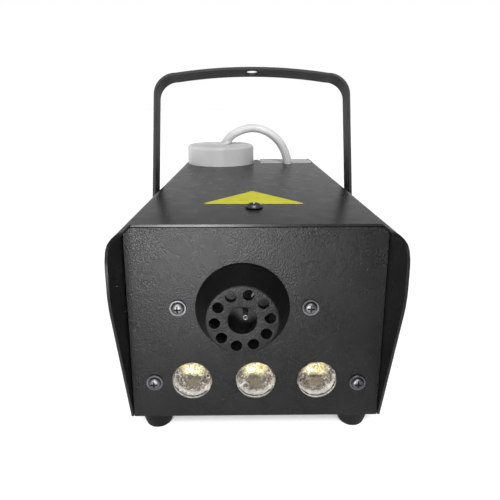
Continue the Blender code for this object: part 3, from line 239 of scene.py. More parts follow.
def lamp_cup(centre):
    """The pebbled optic behind the dome, its look painted in: a painted warm reflection above the emitter,
    brown below, a painted highlight at the rim and painted glints.
    """
    look = Look("lamp_cup", (0.5, 0.48, 0.42), 0.22, metallic=0.1, specular=0.4)
    shift = look.node("ShaderNodeVectorMath", operation='SUBTRACT')
    shift.inputs[1].default_value = centre
    look.link(look.place, shift.inputs[0])
    parts = look.node("ShaderNodeSeparateXYZ")
    look.link(shift.outputs["Vector"], parts.inputs["Vector"])
    length = look.node("ShaderNodeVectorMath", operation='LENGTH')
    look.link(shift.outputs["Vector"], length.inputs[0])

    def span(value, low, high):
        """A measure taken from low..high to 0..1."""
        made = look.node("ShaderNodeMapRange")
        made.inputs["From Min"].default_value = low
        made.inputs["From Max"].default_value = high
        look.link(value, made.inputs["Value"])
        return made.outputs["Result"]

    cells = look.cells(1050.0)
    patches = look.noise(420.0, 3.0, distortion=1.2)
    pebbles = look.ramp(cells, ((0.10, (0.34, 0.29, 0.21)), (0.38, (0.095, 0.070, 0.042)),
                                (0.75, (0.016, 0.011, 0.006))))
    # Bright flecks: painted glints.
    painted_glints = look.ramp(patches, ((0.58, 0.0), (0.68, 0.60)))
    tint = look.blend(painted_glints, pebbles, (0.80, 0.77, 0.70))
    # Warm yellow above the emitter: painted reflection of the emitter in the optic.
    painted_warm_reflection = look.ramp(cells, ((0.12, (0.98, 0.92, 0.58)), (0.45, (0.80, 0.70, 0.36)),
                                   (0.85, (0.30, 0.22, 0.08))))
    upper = look.ramp(span(parts.outputs["Z"], -0.0016, 0.0012), ((0.0, 0.0), (1.0, 1.0)))
    sideways = look.node("ShaderNodeMath", operation='ABSOLUTE')
    look.link(parts.outputs["X"], sideways.inputs[0])
    inner = look.ramp(span(sideways.outputs["Value"], 0.0030, 0.0066), ((0.1, 0.95), (0.9, 0.0)))
    warm_reflection_area = look.node("ShaderNodeMath", operation='MULTIPLY')
    look.link(upper, warm_reflection_area.inputs[0])
    look.link(inner, warm_reflection_area.inputs[1])
    tint = look.blend(warm_reflection_area.outputs["Value"], tint, painted_warm_reflection)
    # Bright band at the rim: painted highlight.
    rim = look.ramp(span(length.outputs["Value"], 0.0080, 0.0094), ((0.2, 0.0), (0.8, 0.7)))
    look.colour_from(look.blend(rim, tint, (0.86, 0.83, 0.78)))
    look.roughness_from(look.noise(500.0), 0.10, 0.30)
    look.bump(cells, 0.0009)
    return look.material


def emitter_chip():
    """The lamp's dark amber emitter."""
    look = Look("emitter_chip", (0.05, 0.03, 0.01), 0.45, specular=0.2)
    look.colour_from(look.ramp(look.noise(900.0, 4.0), ((0.35, (0.030, 0.018, 0.005)),
                                                        (0.65, (0.085, 0.055, 0.016)))))
    look.bump(look.cells(1500.0), 0.0002)
    return look.material


def board_green():
    """Green circuit board with lighter tracks."""
    look = Look("board_green", (0.02, 0.12, 0.05), 0.42)
    tracks = look.node("ShaderNodeTexBrick")
    tracks.inputs["Scale"].default_value = 160.0
    tracks.inputs["Mortar Size"].default_value = 0.03
    tracks.inputs["Color1"].default_value = (0.02, 0.11, 0.045, 1.0)
    tracks.inputs["Color2"].default_value = (0.03, 0.15, 0.06, 1.0)
    tracks.inputs["Mortar"].default_value = (0.06, 0.24, 0.10, 1.0)
    look.link(look.place, tracks.inputs["Vector"])
    look.colour_from(tracks.outputs["Color"])
    look.roughness_from(look.noise(220.0), 0.3, 0.5)
    look.bump(tracks.outputs["Fac"], 0.00003)
    return look.material


def sticker_film(border=False):
    """Plain film: yellow, or the dark brown of its border."""
    dark, light = (0.45, 0.435, 0.009), (0.55, 0.53, 0.014)
    if border:
        dark, light = (0.10, 0.075, 0.010), (0.16, 0.12, 0.015)
    look = Look("sticker_border" if border else "sticker_film", light, 0.5, specular=0.25)
    look.colour_from(look.ramp(look.noise(150.0, 4.0), ((0.3, dark), (0.7, light))))
    look.roughness_from(look.noise(90.0, 4.0), 0.46, 0.60)
    look.bump(look.noise(420.0, 2.0), 0.00003)
    return look.material


BLACK = (0.011, 0.011, 0.012)
BLACK_LIGHT = (0.019, 0.019, 0.020)
LOOKS = {
    "cover_paint": painted("cover_paint", (0.003, 0.003, 0.0034), (0.006, 0.006, 0.0065), 0.28, 2400.0,
                           0.00002, specular=0.12, peel_depth=0.00004),
    "panel_paint": painted("panel_paint", (0.0025, 0.0025, 0.0025), (0.005, 0.005, 0.005), 0.27, 1800.0,
                           0.00021, specular=0.12, peel_depth=0.00004),
    "tray_paint": painted("tray_paint", BLACK, BLACK_LIGHT, 0.42, 1300.0, 0.0001),
    "handle_paint": painted("handle_paint", (0.010, 0.010, 0.011), (0.015, 0.015, 0.016), 0.52,
                            1500.0, 0.00008, specular=0.15),
    "guard_plastic": moulded("guard_plastic", (0.002, 0.002, 0.002), (0.004, 0.004, 0.004), 0.40,
                             grain=1500.0, depth=0.00022, specular=0.10),
    "knob_plastic": moulded("knob_plastic", (0.012, 0.012, 0.012), (0.020, 0.020, 0.020), 0.46),
    "fitting_plastic": moulded("fitting_plastic", (0.010, 0.010, 0.010), (0.017, 0.017, 0.017), 0.40),
    "pump_plastic": moulded("pump_plastic", (0.015, 0.015, 0.015), (0.025, 0.025, 0.024), 0.45),
    "foot_rubber": moulded("foot_rubber", (0.002, 0.002, 0.002), (0.005, 0.005, 0.005), 0.66,
                           grain=900.0, depth=0.0001, specular=0.06),
    "zinc_steel": metal("zinc_steel", (0.48, 0.48, 0.50), (0.66, 0.66, 0.67), 0.36),
    "screw_steel": metal("screw_steel", (0.045, 0.045, 0.048), (0.12, 0.12, 0.125), 0.44,
                         stretch=(1.0, 1.0, 1.0), scale=900.0, depth=0.00003),
    # Grey metal kept darker than bare aluminium: painted shade for the heater block seen through the guard's
    # holes.
    "heater_metal": metal("heater_metal", (0.13, 0.13, 0.135), (0.24, 0.24, 0.245), 0.56),
    "brass": metal("brass", (0.55, 0.38, 0.14), (0.78, 0.60, 0.28), 0.30),
    "jet_plate": metal("jet_plate", (0.17, 0.17, 0.165), (0.30, 0.30, 0.29), 0.46),
    # Dark steel, far darker than bare steel: painted shade for the insides seen through the nozzle guard.
    "shade_dark_steel": metal("shade_dark_steel", (0.035, 0.035, 0.036), (0.075, 0.075, 0.077), 0.55),
    "coil": metal("coil", (0.42, 0.16, 0.07), (0.70, 0.34, 0.18), 0.40, stretch=(1.0, 1.0, 30.0)),
    "board": board_green(),
    "hose_silicone": translucent("hose_silicone", (0.43, 0.435, 0.43), (0.49, 0.495, 0.49), 0.46, 0.5),
    "tank_plastic": translucent("tank_plastic", (0.34, 0.345, 0.34), (0.41, 0.415, 0.41), 0.42, 0.5,
                                stretch=(1.0, 1.0, 0.3)),
    "cap_plastic": translucent("cap_plastic", (0.46, 0.465, 0.46), (0.52, 0.525, 0.52), 0.46, 0.5,
                               stretch=(1.0, 1.0, 0.3)),
    "lens_clear": clear_lens(),
}


# ---- making pieces ------------------------------------------------------------------------
def placed(name, mesh, body, slot, nodes=(), look=None, smooth_angle=35.0):
    """Put a mesh on its body, with the slot's material, standing for the nodes named."""
    obj = bpy.data.objects.new(name, mesh)
    bpy.context.scene.collection.objects.link(obj)
    mesh.materials.clear()
    mesh.materials.append(look or LOOKS[slot])
    if smooth_angle:
        mesh.shade_smooth()
        mesh.set_sharp_from_angle(angle=math.radians(smooth_angle))
    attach(obj, body)
    if nodes:
        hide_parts(*nodes)
    return obj


def bevelled(obj, width, segments=2, angle=30.0):
    """Round the hard edges and keep the flats flat."""
    change = obj.modifiers.new("edges", 'BEVEL')
    change.width = width
    change.segments = segments
    change.limit_method = 'ANGLE'
    change.angle_limit = math.radians(angle)
    change.use_clamp_overlap = True
    change.harden_normals = True
    obj.data.shade_smooth()
    return obj


def clean_copy(node):
    """The node's own shape as one welded mesh with its flat faces whole."""
    form = bmesh.new()
    form.from_mesh(NODES[node].data)
    bmesh.ops.remove_doubles(form, verts=form.verts, dist=1e-6)
    bmesh.ops.dissolve_limit(form, angle_limit=math.radians(0.6), verts=form.verts, edges=form.edges)
    form.verts.index_update()
    points = [tuple(vert.co) for vert in form.verts]
    faces = [[vert.index for vert in face.verts] for face in form.faces]
    form.free()
    mesh = bpy.data.meshes.new(node + "_look")
    mesh.from_pydata(points, [], faces)
    return mesh


def refined(node, slot, body="case", width=0.0003, segments=2, angle=30.0, look=None):
    """The CAD shape with its edges rounded over, as a new piece."""
    obj = placed(node + "_look", clean_copy(node), body, slot, [node], look, smooth_angle=None)
    return bevelled(obj, width, segments, angle)


def lathe(name, profile, steps, axis, centre, ring=False):
    """A profile of (radius, distance) turned about an axis through the centre."""
    spread = {'X': lambda r, c, s, d: (d, r * c, r * s),
              'Y': lambda r, c, s, d: (r * c, d, r * s),
              'Z': lambda r, c, s, d: (r * c, r * s, d)}[axis]
    form = bmesh.new()
    rows = []
    for radius, distance in profile:
        count = steps if radius > 0 else 1
        row = []
        for step in range(count):
            angle = 2 * math.pi * step / steps
            spot = spread(radius, math.cos(angle), math.sin(angle), distance)
            row.append(form.verts.new(Vector(spot) + centre))
        rows.append(row)
    pairs = list(zip(rows, rows[1:]))
    if ring:
        pairs.append((rows[-1], rows[0]))
    else:
        for end in (rows[0], rows[-1]):
            if len(end) > 1:
                form.faces.new(end)
    for upper, lower in pairs:
        for step in range(steps):
            after = (step + 1) % steps
            corners = [upper[step % len(upper)], upper[after % len(upper)],
                       lower[after % len(lower)], lower[step % len(lower)]]
            form.faces.new(list(dict.fromkeys(corners)))
    return finished(name, form)


def finished(name, form):
    """The edited form as a mesh with its faces turned outwards."""
    bmesh.ops.recalc_face_normals(form, faces=form.faces)
    mesh = bpy.data.meshes.new(name)
    form.to_mesh(mesh)
    form.free()
    return mesh


def arc(centre, radius, start, end, steps):
    """Points on an arc, angles in degrees."""
    angles = [math.radians(start + (end - start) * step / steps) for step in range(steps + 1)]
    return [(centre[0] + radius * math.cos(a), centre[1] + radius * math.sin(a)) for a in angles]


def rounded(corners, radius, steps=6):
    """A closed outline through the corners, each turned into an arc."""
    points = []
    for index, corner in enumerate(corners):
        here = Vector(corner)
        to_last = (Vector(corners[index - 1]) - here).normalized()
        to_next = (Vector(corners[(index + 1) % len(corners)]) - here).normalized()
        half = math.acos(max(-1.0, min(1.0, to_last.dot(to_next)))) / 2
        centre = here + (to_last + to_next).normalized() * radius / math.sin(half)
        first = here + to_last * radius / math.tan(half) - centre
        last = here + to_next * radius / math.tan(half) - centre
        turn = math.atan2(first.x * last.y - first.y * last.x, first.dot(last))
        for step in range(steps + 1):
            swing = Matrix.Rotation(turn * step / steps, 2) @ first
            points.append(tuple(centre + swing))
    return points


def extruded(name, outline, low, high, axis, centre=Vector()):
    """A flat outline pushed from low to high along an axis."""
    spread = {'X': lambda a, b, c: (c, a, b), 'Y': lambda a, b, c: (a, c, b),
              'Z': lambda a, b, c: (a, b, c)}[axis]
    form = bmesh.new()
    near = [form.verts.new(Vector(spread(a, b, low)) + centre) for a, b in outline]
    far = [form.verts.new(Vector(spread(a, b, high)) + centre) for a, b in outline]
    form.faces.new(near)
    form.faces.new(list(reversed(far)))
    for index in range(len(outline)):
        after = (index + 1) % len(outline)
        form.faces.new((near[index], near[after], far[after], far[index]))
    return finished(name, form)


def cut(obj, *helpers):
    """Cut the helper meshes out of the object's mesh, one after another."""
    for mesh in helpers:
        helper = bpy.data.objects.new("helper", mesh)
        bpy.context.scene.collection.objects.link(helper)
        change = obj.modifiers.new("cut", 'BOOLEAN')
        change.operation = 'DIFFERENCE'
        change.solver = 'EXACT'
        change.object = helper
        bpy.context.view_layer.update()
        shape = obj.evaluated_get(bpy.context.evaluated_depsgraph_get())
        result = bpy.data.meshes.new_from_object(shape)
        obj.modifiers.remove(change)
        obj.data = result
        bpy.data.objects.remove(helper)


# ---- case ---------------------------------------------------------------------------------
def case_pieces():
    """The folded sheets, with their edges rounded over."""
    refined("cover", "cover_paint", width=0.00035, segments=3)
    refined("front_panel", "panel_paint", width=0.0003)
    refined("rear_panel", "panel_paint", width=0.0003)
    refined("base_tray", "tray_paint", width=0.0003)
    refined("bottle_shelf", "zinc_steel", width=0.0003)


def feet():
    """Rubber feet: a small hollow in the sole, a rounded shoulder under the tray, a stem through it."""
    flat_r, edge_r, shoulder_r = 0.0044, 0.0024, 0.0012
    stem_r, barb_r, tip_r = 0.0029, 0.0040, 0.0022
    for end in ("front", "rear"):
        for side in ("left", "right"):
            node = f"foot_{end}_{side}"
            low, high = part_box(node)
            centre = Vector(((low.x + high.x) / 2, (low.y + high.y) / 2, UNDERSIDE_Z))
            body_r = (high.x - low.x) / 2
            bottom = low.z - UNDERSIDE_Z
            top = high.z - UNDERSIDE_Z
            profile = [(0, bottom + 0.0010), (0.0016, bottom + 0.0009), (0.0022, bottom)]
            profile += arc((flat_r, bottom + edge_r), edge_r, -90, -28, 8)
            profile += [(body_r - 0.0006, -0.0035)]
            profile += arc((body_r - shoulder_r, -0.0017), shoulder_r, -20, 90, 7)
            profile += [(stem_r, -0.0004), (stem_r, 0.0015), (barb_r, 0.0016), (tip_r, top), (0, top)]
            mesh = lathe(node + "_look", profile, 56, 'Z', centre)
            placed(node + "_look", mesh, "case", "foot_rubber", [node], smooth_angle=40)


def screw_piece(node, axis, sign):
    """Cross-recessed screw: raised rim, groove, domed middle and tapered cross."""
    low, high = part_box(node)
    centre = (low + high) / 2
    index = "XYZ".index(axis)
    others = [i for i in range(3) if i != index]
    head_r = (high[others[0]] - low[others[0]]) / 2
    outer = high[index] if sign > 0 else low[index]
    inner = low[index] if sign > 0 else high[index]
    centre[index] = outer - sign * HEAD_RISE      # the sheet's face
    tail = (inner - centre[index]) * sign
    shank_r, seat, rim, dome_step = 0.0015, 0.0003, 0.0011, 0.0003
    profile = [(0, tail), (0.0012, tail), (shank_r, tail + 0.0005), (shank_r, seat), (head_r - 0.0002, seat),
               (head_r, seat + 0.0002), (head_r, rim - 0.0002), (head_r - 0.00018, rim),
               (head_r * 0.88, rim), (head_r * 0.85, rim - 0.00012), (head_r * 0.80, rim - 0.00014),
               (head_r * 0.76, rim + 0.0001)]
    dome = 9
    for step in range(dome + 1):
        share = step / dome
        radius = head_r * 0.74 * math.cos(share * math.pi / 2) ** 0.8
        height = rim + dome_step + (HEAD_RISE - rim - dome_step) * math.sin(share * math.pi / 2)
        profile.append((radius if step < dome else 0, height))
    profile = [(radius, distance * sign) for radius, distance in profile]
    mesh = lathe(node + "_look", profile, 48, axis, centre)
    obj = placed(node + "_look", mesh, "case", "screw_steel", [node], smooth_angle=38)

    wide, narrow, arm, tip = 0.00042, 0.00022, head_r * 0.50, head_r * 0.20
    mouth_d, floor_d = sign * 0.0032, sign * 0.0007
    for turn in (0, 1):
        form = bmesh.new()
        rows = []
        for depth, reach, half in ((mouth_d, arm, wide), (floor_d, tip, narrow)):
            row = []
            for a, b in ((-reach, -half), (reach, -half), (reach, half), (-reach, half)):
                spot = [0.0, 0.0, 0.0]
                spot[index] = depth
                first, second = (a, b) if turn == 0 else (-b, a)
                spot[others[0]] = first
                spot[others[1]] = second
                row.append(form.verts.new(Vector(spot) + centre))
            rows.append(row)
        form.faces.new(rows[0])
        form.faces.new(list(reversed(rows[1])))
        for step in range(4):
            after = (step + 1) % 4
            form.faces.new((rows[0][step], rows[0][after], rows[1][after], rows[1][step]))
        cut(obj, finished("cross", form))
    obj.data.shade_smooth()
    obj.data.set_sharp_from_angle(angle=math.radians(38))


def screw_pieces():
    """All the screws: each is named with its axis and the way its head faces."""
    for side in ("left", "right"):
        screw_piece(f"screw_nozzle_{side}", 'Y', -1)
        screw_piece(f"screw_panel_{side}", 'Y', -1)
        screw_piece(f"screw_rear_{side}", 'Y', 1)
        for end in ("front", "rear"):
            screw_piece(f"screw_side_{end}_{side}", 'X', -1 if side == "left" else 1)
    screw_piece("screw_cover_top", 'Z', 1)


# ---- handle -------------------------------------------------------------------------------
PIVOT = at(0, 0.0919, 0.042)
HANDLE_REACH = 0.1329
HANDLE_HALF = 0.0659
HANDLE_T = 0.002
HANDLE_W = 0.0145
HANDLE_LEAN = math.radians(16)


def handle_piece():
    """The bent strip with finely rounded corners and edges, and its grip hole."""
    corner_r, arch_r, bore_r, grip_r = 0.0145, 0.330, 0.0033, 0.00425
    middle_half = HANDLE_HALF - corner_r
    drop = arch_r - math.sqrt(arch_r ** 2 - middle_half ** 2)
    slope = math.degrees(math.asin(middle_half / arch_r))
    corner_z = HANDLE_REACH - drop - corner_r
    half = HANDLE_W / 2

    def whole(inset):
        """The strip's line from leg to leg, moved inwards by the inset."""
        top = arc((0, HANDLE_REACH - arch_r), arch_r - inset, 90 - slope, 90, 24)
        bend = arc((middle_half, corner_z), corner_r - inset, 0, 90 - slope, 22)
        right = [(HANDLE_HALF - inset, -half)] + bend + top
        return right + [(-across, up) for across, up in reversed(right[:-1])]

    outline = whole(0) + list(reversed(whole(HANDLE_T)))
    mesh = extruded("handle_look", outline, -half, half, 'Y')
    obj = placed("handle_look", mesh, "handle", "handle_paint", ["handle"], smooth_angle=None)
    past, below, beyond_legs = half + 0.01, -0.02, 0.08
    ends = arc((0, 0), half, 180, 360, 24) + [(past, 0), (past, below), (-past, below), (-past, 0)]
    under_bar, over_bar = 0.1, 0.15
    cut(obj, extruded("leg_ends", ends, -beyond_legs, beyond_legs, 'X'),
        lathe("leg_holes", [(bore_r, -beyond_legs), (bore_r, beyond_legs)], 32, 'X', Vector()),
        lathe("grip_hole", [(grip_r, under_bar), (grip_r, over_bar)], 40, 'Z', Vector()))
    obj.data.transform(Matrix.Translation(PIVOT) @ Matrix.Rotation(-HANDLE_LEAN, 4, 'X'))
    bevelled(obj, 0.0004, 3)


KNOB_STEPS = 144
KNOB_LOBES = 6


def knob_row(form, distance, radius, wave=0.0, share=1.0):
    """A closed row of points about the pivot, round or waved for the lobes."""
    row = []
    for step in range(KNOB_STEPS):
        angle = 2 * math.pi * step / KNOB_STEPS
        reach = (radius + wave * math.cos(KNOB_LOBES * angle)) * share
        spot = Vector((distance, reach * math.cos(angle), reach * math.sin(angle)))
        row.append(form.verts.new(PIVOT + spot))
    return row


def knob_pieces():
    """Lobed knobs with a dished middle, each with its collar, stud, washer and nut."""
    mean_r, wave, thick = 0.0115, 0.0012, 0.0100
    seat, bore_r, collar_r, stud_r = HANDLE_HALF + 0.0004, 0.0031, 0.0075, 0.0030
    for side, sign in (("left", -1), ("right", 1)):
        body = f"knob_{side}"
        low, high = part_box(body)
        outer = abs(high.x if sign > 0 else low.x)
        stud_end = abs(low.x if sign > 0 else high.x)
        near = outer - thick
        lobed = [(near, 0.90), (near + 0.0004, 0.985), (near + 0.0011, 1.0), (outer - 0.0017, 1.0),
                 (outer - 0.0008, 0.97), (outer - 0.0002, 0.91), (outer, 0.84)]
        dished = [(outer, 0.0076), (outer - 0.0011, 0.0070), (outer - 0.0012, 0.0042),
                  (outer - 0.0008, 0.0034)]
        form = bmesh.new()
        rows = [knob_row(form, sign * distance, mean_r, wave, share) for distance, share in lobed]
        rows += [knob_row(form, sign * distance, radius) for distance, radius in dished]
        form.faces.new(rows[-1])
        form.faces.new(rows[0])
        for first, second in zip(rows, rows[1:]):
            for step in range(KNOB_STEPS):
                after = (step + 1) % KNOB_STEPS
                form.faces.new((first[step], first[after], second[after], second[step]))
        placed(f"{body}_look", finished("knob", form), body, "knob_plastic", [body], smooth_angle=50)

        collar = [(bore_r, seat), (0.0073, seat), (collar_r, seat + 0.0002), (collar_r, near + 0.0001),
                  (bore_r, near + 0.0001)]
        mesh = lathe("collar", [(r, sign * d) for r, d in collar], 48, 'X', PIVOT, ring=True)
        placed(f"{body}_collar", mesh, body, "knob_plastic")
        stud = [(0, stud_end), (0.0024, stud_end), (stud_r, stud_end + 0.0006), (stud_r, near - 0.0005),
                (0, near - 0.0005)]
        mesh = lathe("stud", [(r, sign * d) for r, d in stud], 32, 'X', PIVOT)
        placed(f"{body}_stud", mesh, body, "zinc_steel")
        refined(f"pivot_washer_{side}", "foot_rubber", width=0.0004, segments=3)
        refined(f"pivot_nut_{side}", "zinc_steel", width=0.0003)


# ---- nozzle -------------------------------------------------------------------------------
NOZZLE = Vector((middle_of("nozzle_cap").x, FRONT_Y, middle_of("nozzle_cap").z))
GUARD_REACH = FRONT_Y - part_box("nozzle_cap")[0].y


def guard_piece():
    """Tapered guard with a rounded rim, a stepped mouth and ten bevelled holes."""
    face_y, mouth_r, rim_r = -GUARD_REACH, 0.0061, 0.0162
    base_r, tube_r, inner_r, tube_end, face_thick = 0.0214, 0.0165, 0.0150, 0.0060, 0.0030
    rim_round, lip_round = 0.0011, 0.0005
    rim = arc((rim_r - rim_round, face_y + rim_round), rim_round, -90, -24, 7)
    lip = arc((mouth_r + lip_round, face_y + lip_round), lip_round, 180, 270, 5)
    profile = lip + rim
    profile += [(0.0210, -0.0016), (base_r, -0.0010), (base_r, -0.0003), (tube_r, -0.0003),
                (tube_r, tube_end), (inner_r, tube_end), (inner_r, face_y + face_thick),
                (mouth_r, face_y + face_thick)]
    mesh = lathe("nozzle_guard", profile, 128, 'Y', NOZZLE, ring=True)
    obj = placed("nozzle_guard", mesh, "case", "guard_plastic", ["nozzle_cap"], smooth_angle=None)
    hole_r, ring_r, hole_start, hole_end = 0.0025, 0.0120, face_y - 0.01, face_y + 0.0045
    holes = []
    for index in range(10):
        angle = math.radians(113.5 + 36 * index)
        spot = NOZZLE + Vector((ring_r * math.cos(angle), 0, ring_r * math.sin(angle)))
        holes.append(lathe("hole", [(hole_r, hole_start), (hole_r, hole_end)], 36, 'Y', spot))
    cut(obj, *holes)
    bevelled(obj, 0.00034, 3, angle=40)


def jet_piece():
    """Plated jet with a bright ring end, and the shoulder it is screwed in by."""
    low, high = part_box("nozzle_tube")
    centre = Vector(((low.x + high.x) / 2, FRONT_Y, (low.z + high.z) / 2))
    tip, tail = low.y - FRONT_Y, high.y - FRONT_Y
    bore_r, jet_r, root_r = 0.0006, 0.0012, 0.0030
    profile = [(bore_r, tip + 0.0003), (bore_r + 0.0002, tip + 0.00005), (0.0009, tip),
               (0.0011, tip + 0.0001), (jet_r, tip + 0.0003), (0.0013, 0.0020),
               (root_r, 0.0040), (root_r, tail), (bore_r, tail)]
    mesh = lathe("jet_tube", profile, 40, 'Y', centre, ring=True)
    placed("jet_tube", mesh, "case", "brass", ["nozzle_tube"], look=LOOKS["jet_plate"], smooth_angle=50)


# ---- lamps --------------------------------------------------------------------------------
def lamp_pieces():
    """A pebbled clear dome over a bright cup, with the square emitter at its bottom."""
    for side in ("left", "middle", "right"):
        node = f"lamp_lens_{side}"
        low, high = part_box(node)
        centre = Vector(((low.x + high.x) / 2, FRONT_Y, (low.z + high.z) / 2))
        lens_r = 0.0091
        top = low.y - FRONT_Y
        steps, rings = 72, 14
        profile = []
        for ring in range(rings + 1):
            share = ring / rings
            profile.append((lens_r * share, top * math.sqrt(max(0.0, 1 - (share * 0.97) ** 2.2))))
        profile += [(lens_r, 0.0015), (0.0102, 0.0015), (0.0102, 0.0026), (0.0088, 0.0026)]
        for ring in range(rings, -1, -1):
            share = ring / rings
            profile.append((0.0084 * share, 0.0020 + (top * 0.75) * (1 - share ** 2)))
        mesh = lathe(node + "_look", profile, steps, 'Y', centre)
        for vert in mesh.vertices:
            away = vert.co - centre
            if away.y < 0.0004 and Vector((away.x, away.z)).length < lens_r * 0.96:
                pebble = noise.voronoi(vert.co * 700.0)[0][0]
                vert.co.y += 0.00012 * (pebble - 0.5)
        placed(node + "_look", mesh, "case", "lens_clear", [node], smooth_angle=60)

        cup = [(0, 0.0072), (0.0050, 0.0072), (0.0097, 0.0034), (0.0097, 0.0027), (0.0086, 0.0027)]
        cup_rings = 14
        for ring in range(1, cup_rings + 1):
            share = ring / cup_rings
            cup.append((0.0086 - 0.0062 * share, 0.0027 + 0.0036 * share ** 0.75))
        cup.append((0, 0.0064))
        mesh = lathe("cup", cup, 96, 'Y', centre)
        for vert in mesh.vertices:
            away = vert.co - centre
            radius = Vector((away.x, away.z)).length
            if radius < 0.0084 and away.y < 0.0062:
                vert.co.y -= 0.0007 * (0.5 - noise.voronoi(vert.co * 620.0)[0][0])
        placed(f"lamp_cup_{side}", mesh, "case", "lens_clear", look=lamp_cup(centre), smooth_angle=50)
        half, below = 0.0030, 0.0027
        die = rounded([(-half, -half), (half, -half), (half, half * 0.5), (-half, half * 0.5)], 0.0005)
        mesh = extruded("die", die, 0.0041, 0.0074, 'Y', centre - Vector((0, 0, below)))
        chip = placed(f"lamp_chip_{side}", mesh, "case", "board", look=CHIP, smooth_angle=None)
        bevelled(chip, 0.0002)


CHIP = emitter_chip()


# ---- tank, cap and hose -------------------------------------------------------------------
HOSE_R = 0.0037


def tank_pieces():
    refined("bottle", "tank_plastic", width=0.0007, segments=4, angle=35)
    low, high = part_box("bottle_cap")
    centre = Vector(((low.x + high.x) / 2, (low.y + high.y) / 2, 0.0))
    outer = (high.x - low.x) / 2
    bore, neck, ceiling = 0.0082, 0.0246, high.z - 0.0022
    profile = [(neck, low.z), (outer - 0.0006, low.z), (outer - 0.0001, low.z + 0.0004),
               (outer, low.z + 0.0012)]
    profile += arc((outer - 0.0032, high.z - 0.0032), 0.0032, 0, 90, 12)
    profile += [(bore + 0.0005, high.z), (bore, high.z - 0.0005), (bore, ceiling), (neck, ceiling)]
    mesh = lathe("bottle_cap_look", profile, 128, 'Z', centre, ring=True)
    placed("bottle_cap_look", mesh, "cap", "cap_plastic", ["bottle_cap"], smooth_angle=35)
    grommet_piece(centre, high.z)
    return centre, high.z


def grommet_piece(centre, top):
    """Soft boot in the cap's middle that sweeps up round the slanting hose."""
    count = 64
    hose_start = Vector((centre.x + 0.0026, centre.y, top - 0.0012))
    slant = Vector((math.sin(math.radians(42)), 0.0, math.cos(math.radians(42))))
    rise = HOSE_R + 0.0001
    wide = Vector((centre.x, centre.y, 0.0))

    def flat_row(radius, height):
        return [wide + Vector((radius * math.cos(turn), radius * math.sin(turn), height)) for turn in turns]

    def hose_row(radius, along):
        """A ring round the hose, square to it."""
        across = Vector((slant.z, 0.0, -slant.x))
        return [hose_start + slant * along + across * radius * math.cos(turn)
                + Vector((0.0, radius * math.sin(turn), 0.0)) for turn in turns]

    turns = [2 * math.pi * step / count for step in range(count)]
    low_ring, high_ring = flat_row(0.0078, top + 0.0001), hose_row(rise, 0.0074)
    swell = []
    steps = 10
    for step in range(1, steps):
        share = step / steps
        ease = 1 - (1 - share) ** 1.9
        lift = share ** 1.7
        row = []
        for start, end in zip(low_ring, high_ring):
            spot = start.lerp(end, ease)
            spot.z = start.z + (end.z - start.z) * lift
            row.append(spot)
        swell.append(row)
    rows = [hose_row(rise, -0.0022), flat_row(0.0079, top - 0.0034), flat_row(0.0079, top - 0.0002), low_ring]
    rows += swell + [high_ring]
    form = bmesh.new()
    rings = [[form.verts.new(spot) for spot in row] for row in rows]
    for first, second in zip(rings, rings[1:] + rings[:1]):
        for step in range(count):
            after = (step + 1) % count
            form.faces.new((first[step], first[after], second[after], second[step]))
    placed("cap_grommet_look", finished("boot", form), "case", "hose_silicone", ["cap_grommet"],
           look=LOOKS["cap_plastic"], smooth_angle=60)


def hose_piece(name, node, route, radius):
    """A hose on a smooth curve through its route."""
    points = [Vector(point) for point in route]
    padded = [2 * points[0] - points[1]] + points + [2 * points[-1] - points[-2]]
    path = []
    samples = 8
    for index in range(1, len(padded) - 2):
        before, start, end, beyond = padded[index - 1:index + 3]
        for step in range(samples):
            t = step / samples
            path.append(0.5 * (2 * start + (end - before) * t
                               + (2 * before - 5 * start + 4 * end - beyond) * t ** 2
                               + (3 * start - before - 3 * end + beyond) * t ** 3))
    path.append(points[-1])
    curve = bpy.data.curves.new(name, 'CURVE')
    curve.dimensions = '3D'
    curve.bevel_depth = radius
    curve.bevel_resolution = 8
    curve.use_fill_caps = True
    line = curve.splines.new('POLY')
    line.points.add(len(path) - 1)
    for knot, point in zip(line.points, path):
        knot.co = (*point, 1.0)
    line.use_smooth = True
    curve.materials.append(LOOKS["hose_silicone"])
    obj = bpy.data.objects.new(name, curve)
    bpy.context.scene.collection.objects.link(obj)
    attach(obj, "case")
    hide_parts(node)


def hoses(cap, cap_top):
    """The suction hose, on the same route as its CAD solid."""
    hose_x, hose_y, divider_y, pump_y, through_z, inlet_z = 0.033, 0.2007, 0.182, 0.146, 0.0585, 0.0142

    def by_cap(across, along, up):
        return Vector((cap.x + across, cap.y + along, UNDERSIDE_Z + up))

    route = [by_cap(-0.0125, 0.0010, 0.0560), by_cap(-0.0120, 0.0010, 0.0700),
             by_cap(-0.0105, 0.0008, 0.0850), by_cap(-0.0070, 0.0004, 0.0985),
             by_cap(0.0026, 0, cap_top - UNDERSIDE_Z - 0.0012), by_cap(0.0112, -0.0005, 0.1210),
             by_cap(0.0260, -0.0015, 0.1264), by_cap(0.0400, -0.0035, 0.1242),
             by_cap(0.0520, -0.0060, 0.1150), at(hose_x - 0.0008, hose_y + 0.0010, 0.1010),
             at(hose_x, hose_y, 0.0870), at(hose_x, hose_y - 0.0035, 0.0740),
             at(hose_x, divider_y + 0.0095, 0.0635), at(hose_x, divider_y + 0.0006, through_z),
             at(hose_x, divider_y - 0.0075, 0.0505), at(hose_x, divider_y - 0.0105, 0.0390),
             at(hose_x, divider_y - 0.0095, 0.0270), at(hose_x, divider_y - 0.0120, 0.0180),
             at(hose_x, pump_y + 0.0195, inlet_z), at(hose_x, pump_y + 0.0155, inlet_z)]
    hose_piece("suction_hose", "fluid_hose", route, HOSE_R)


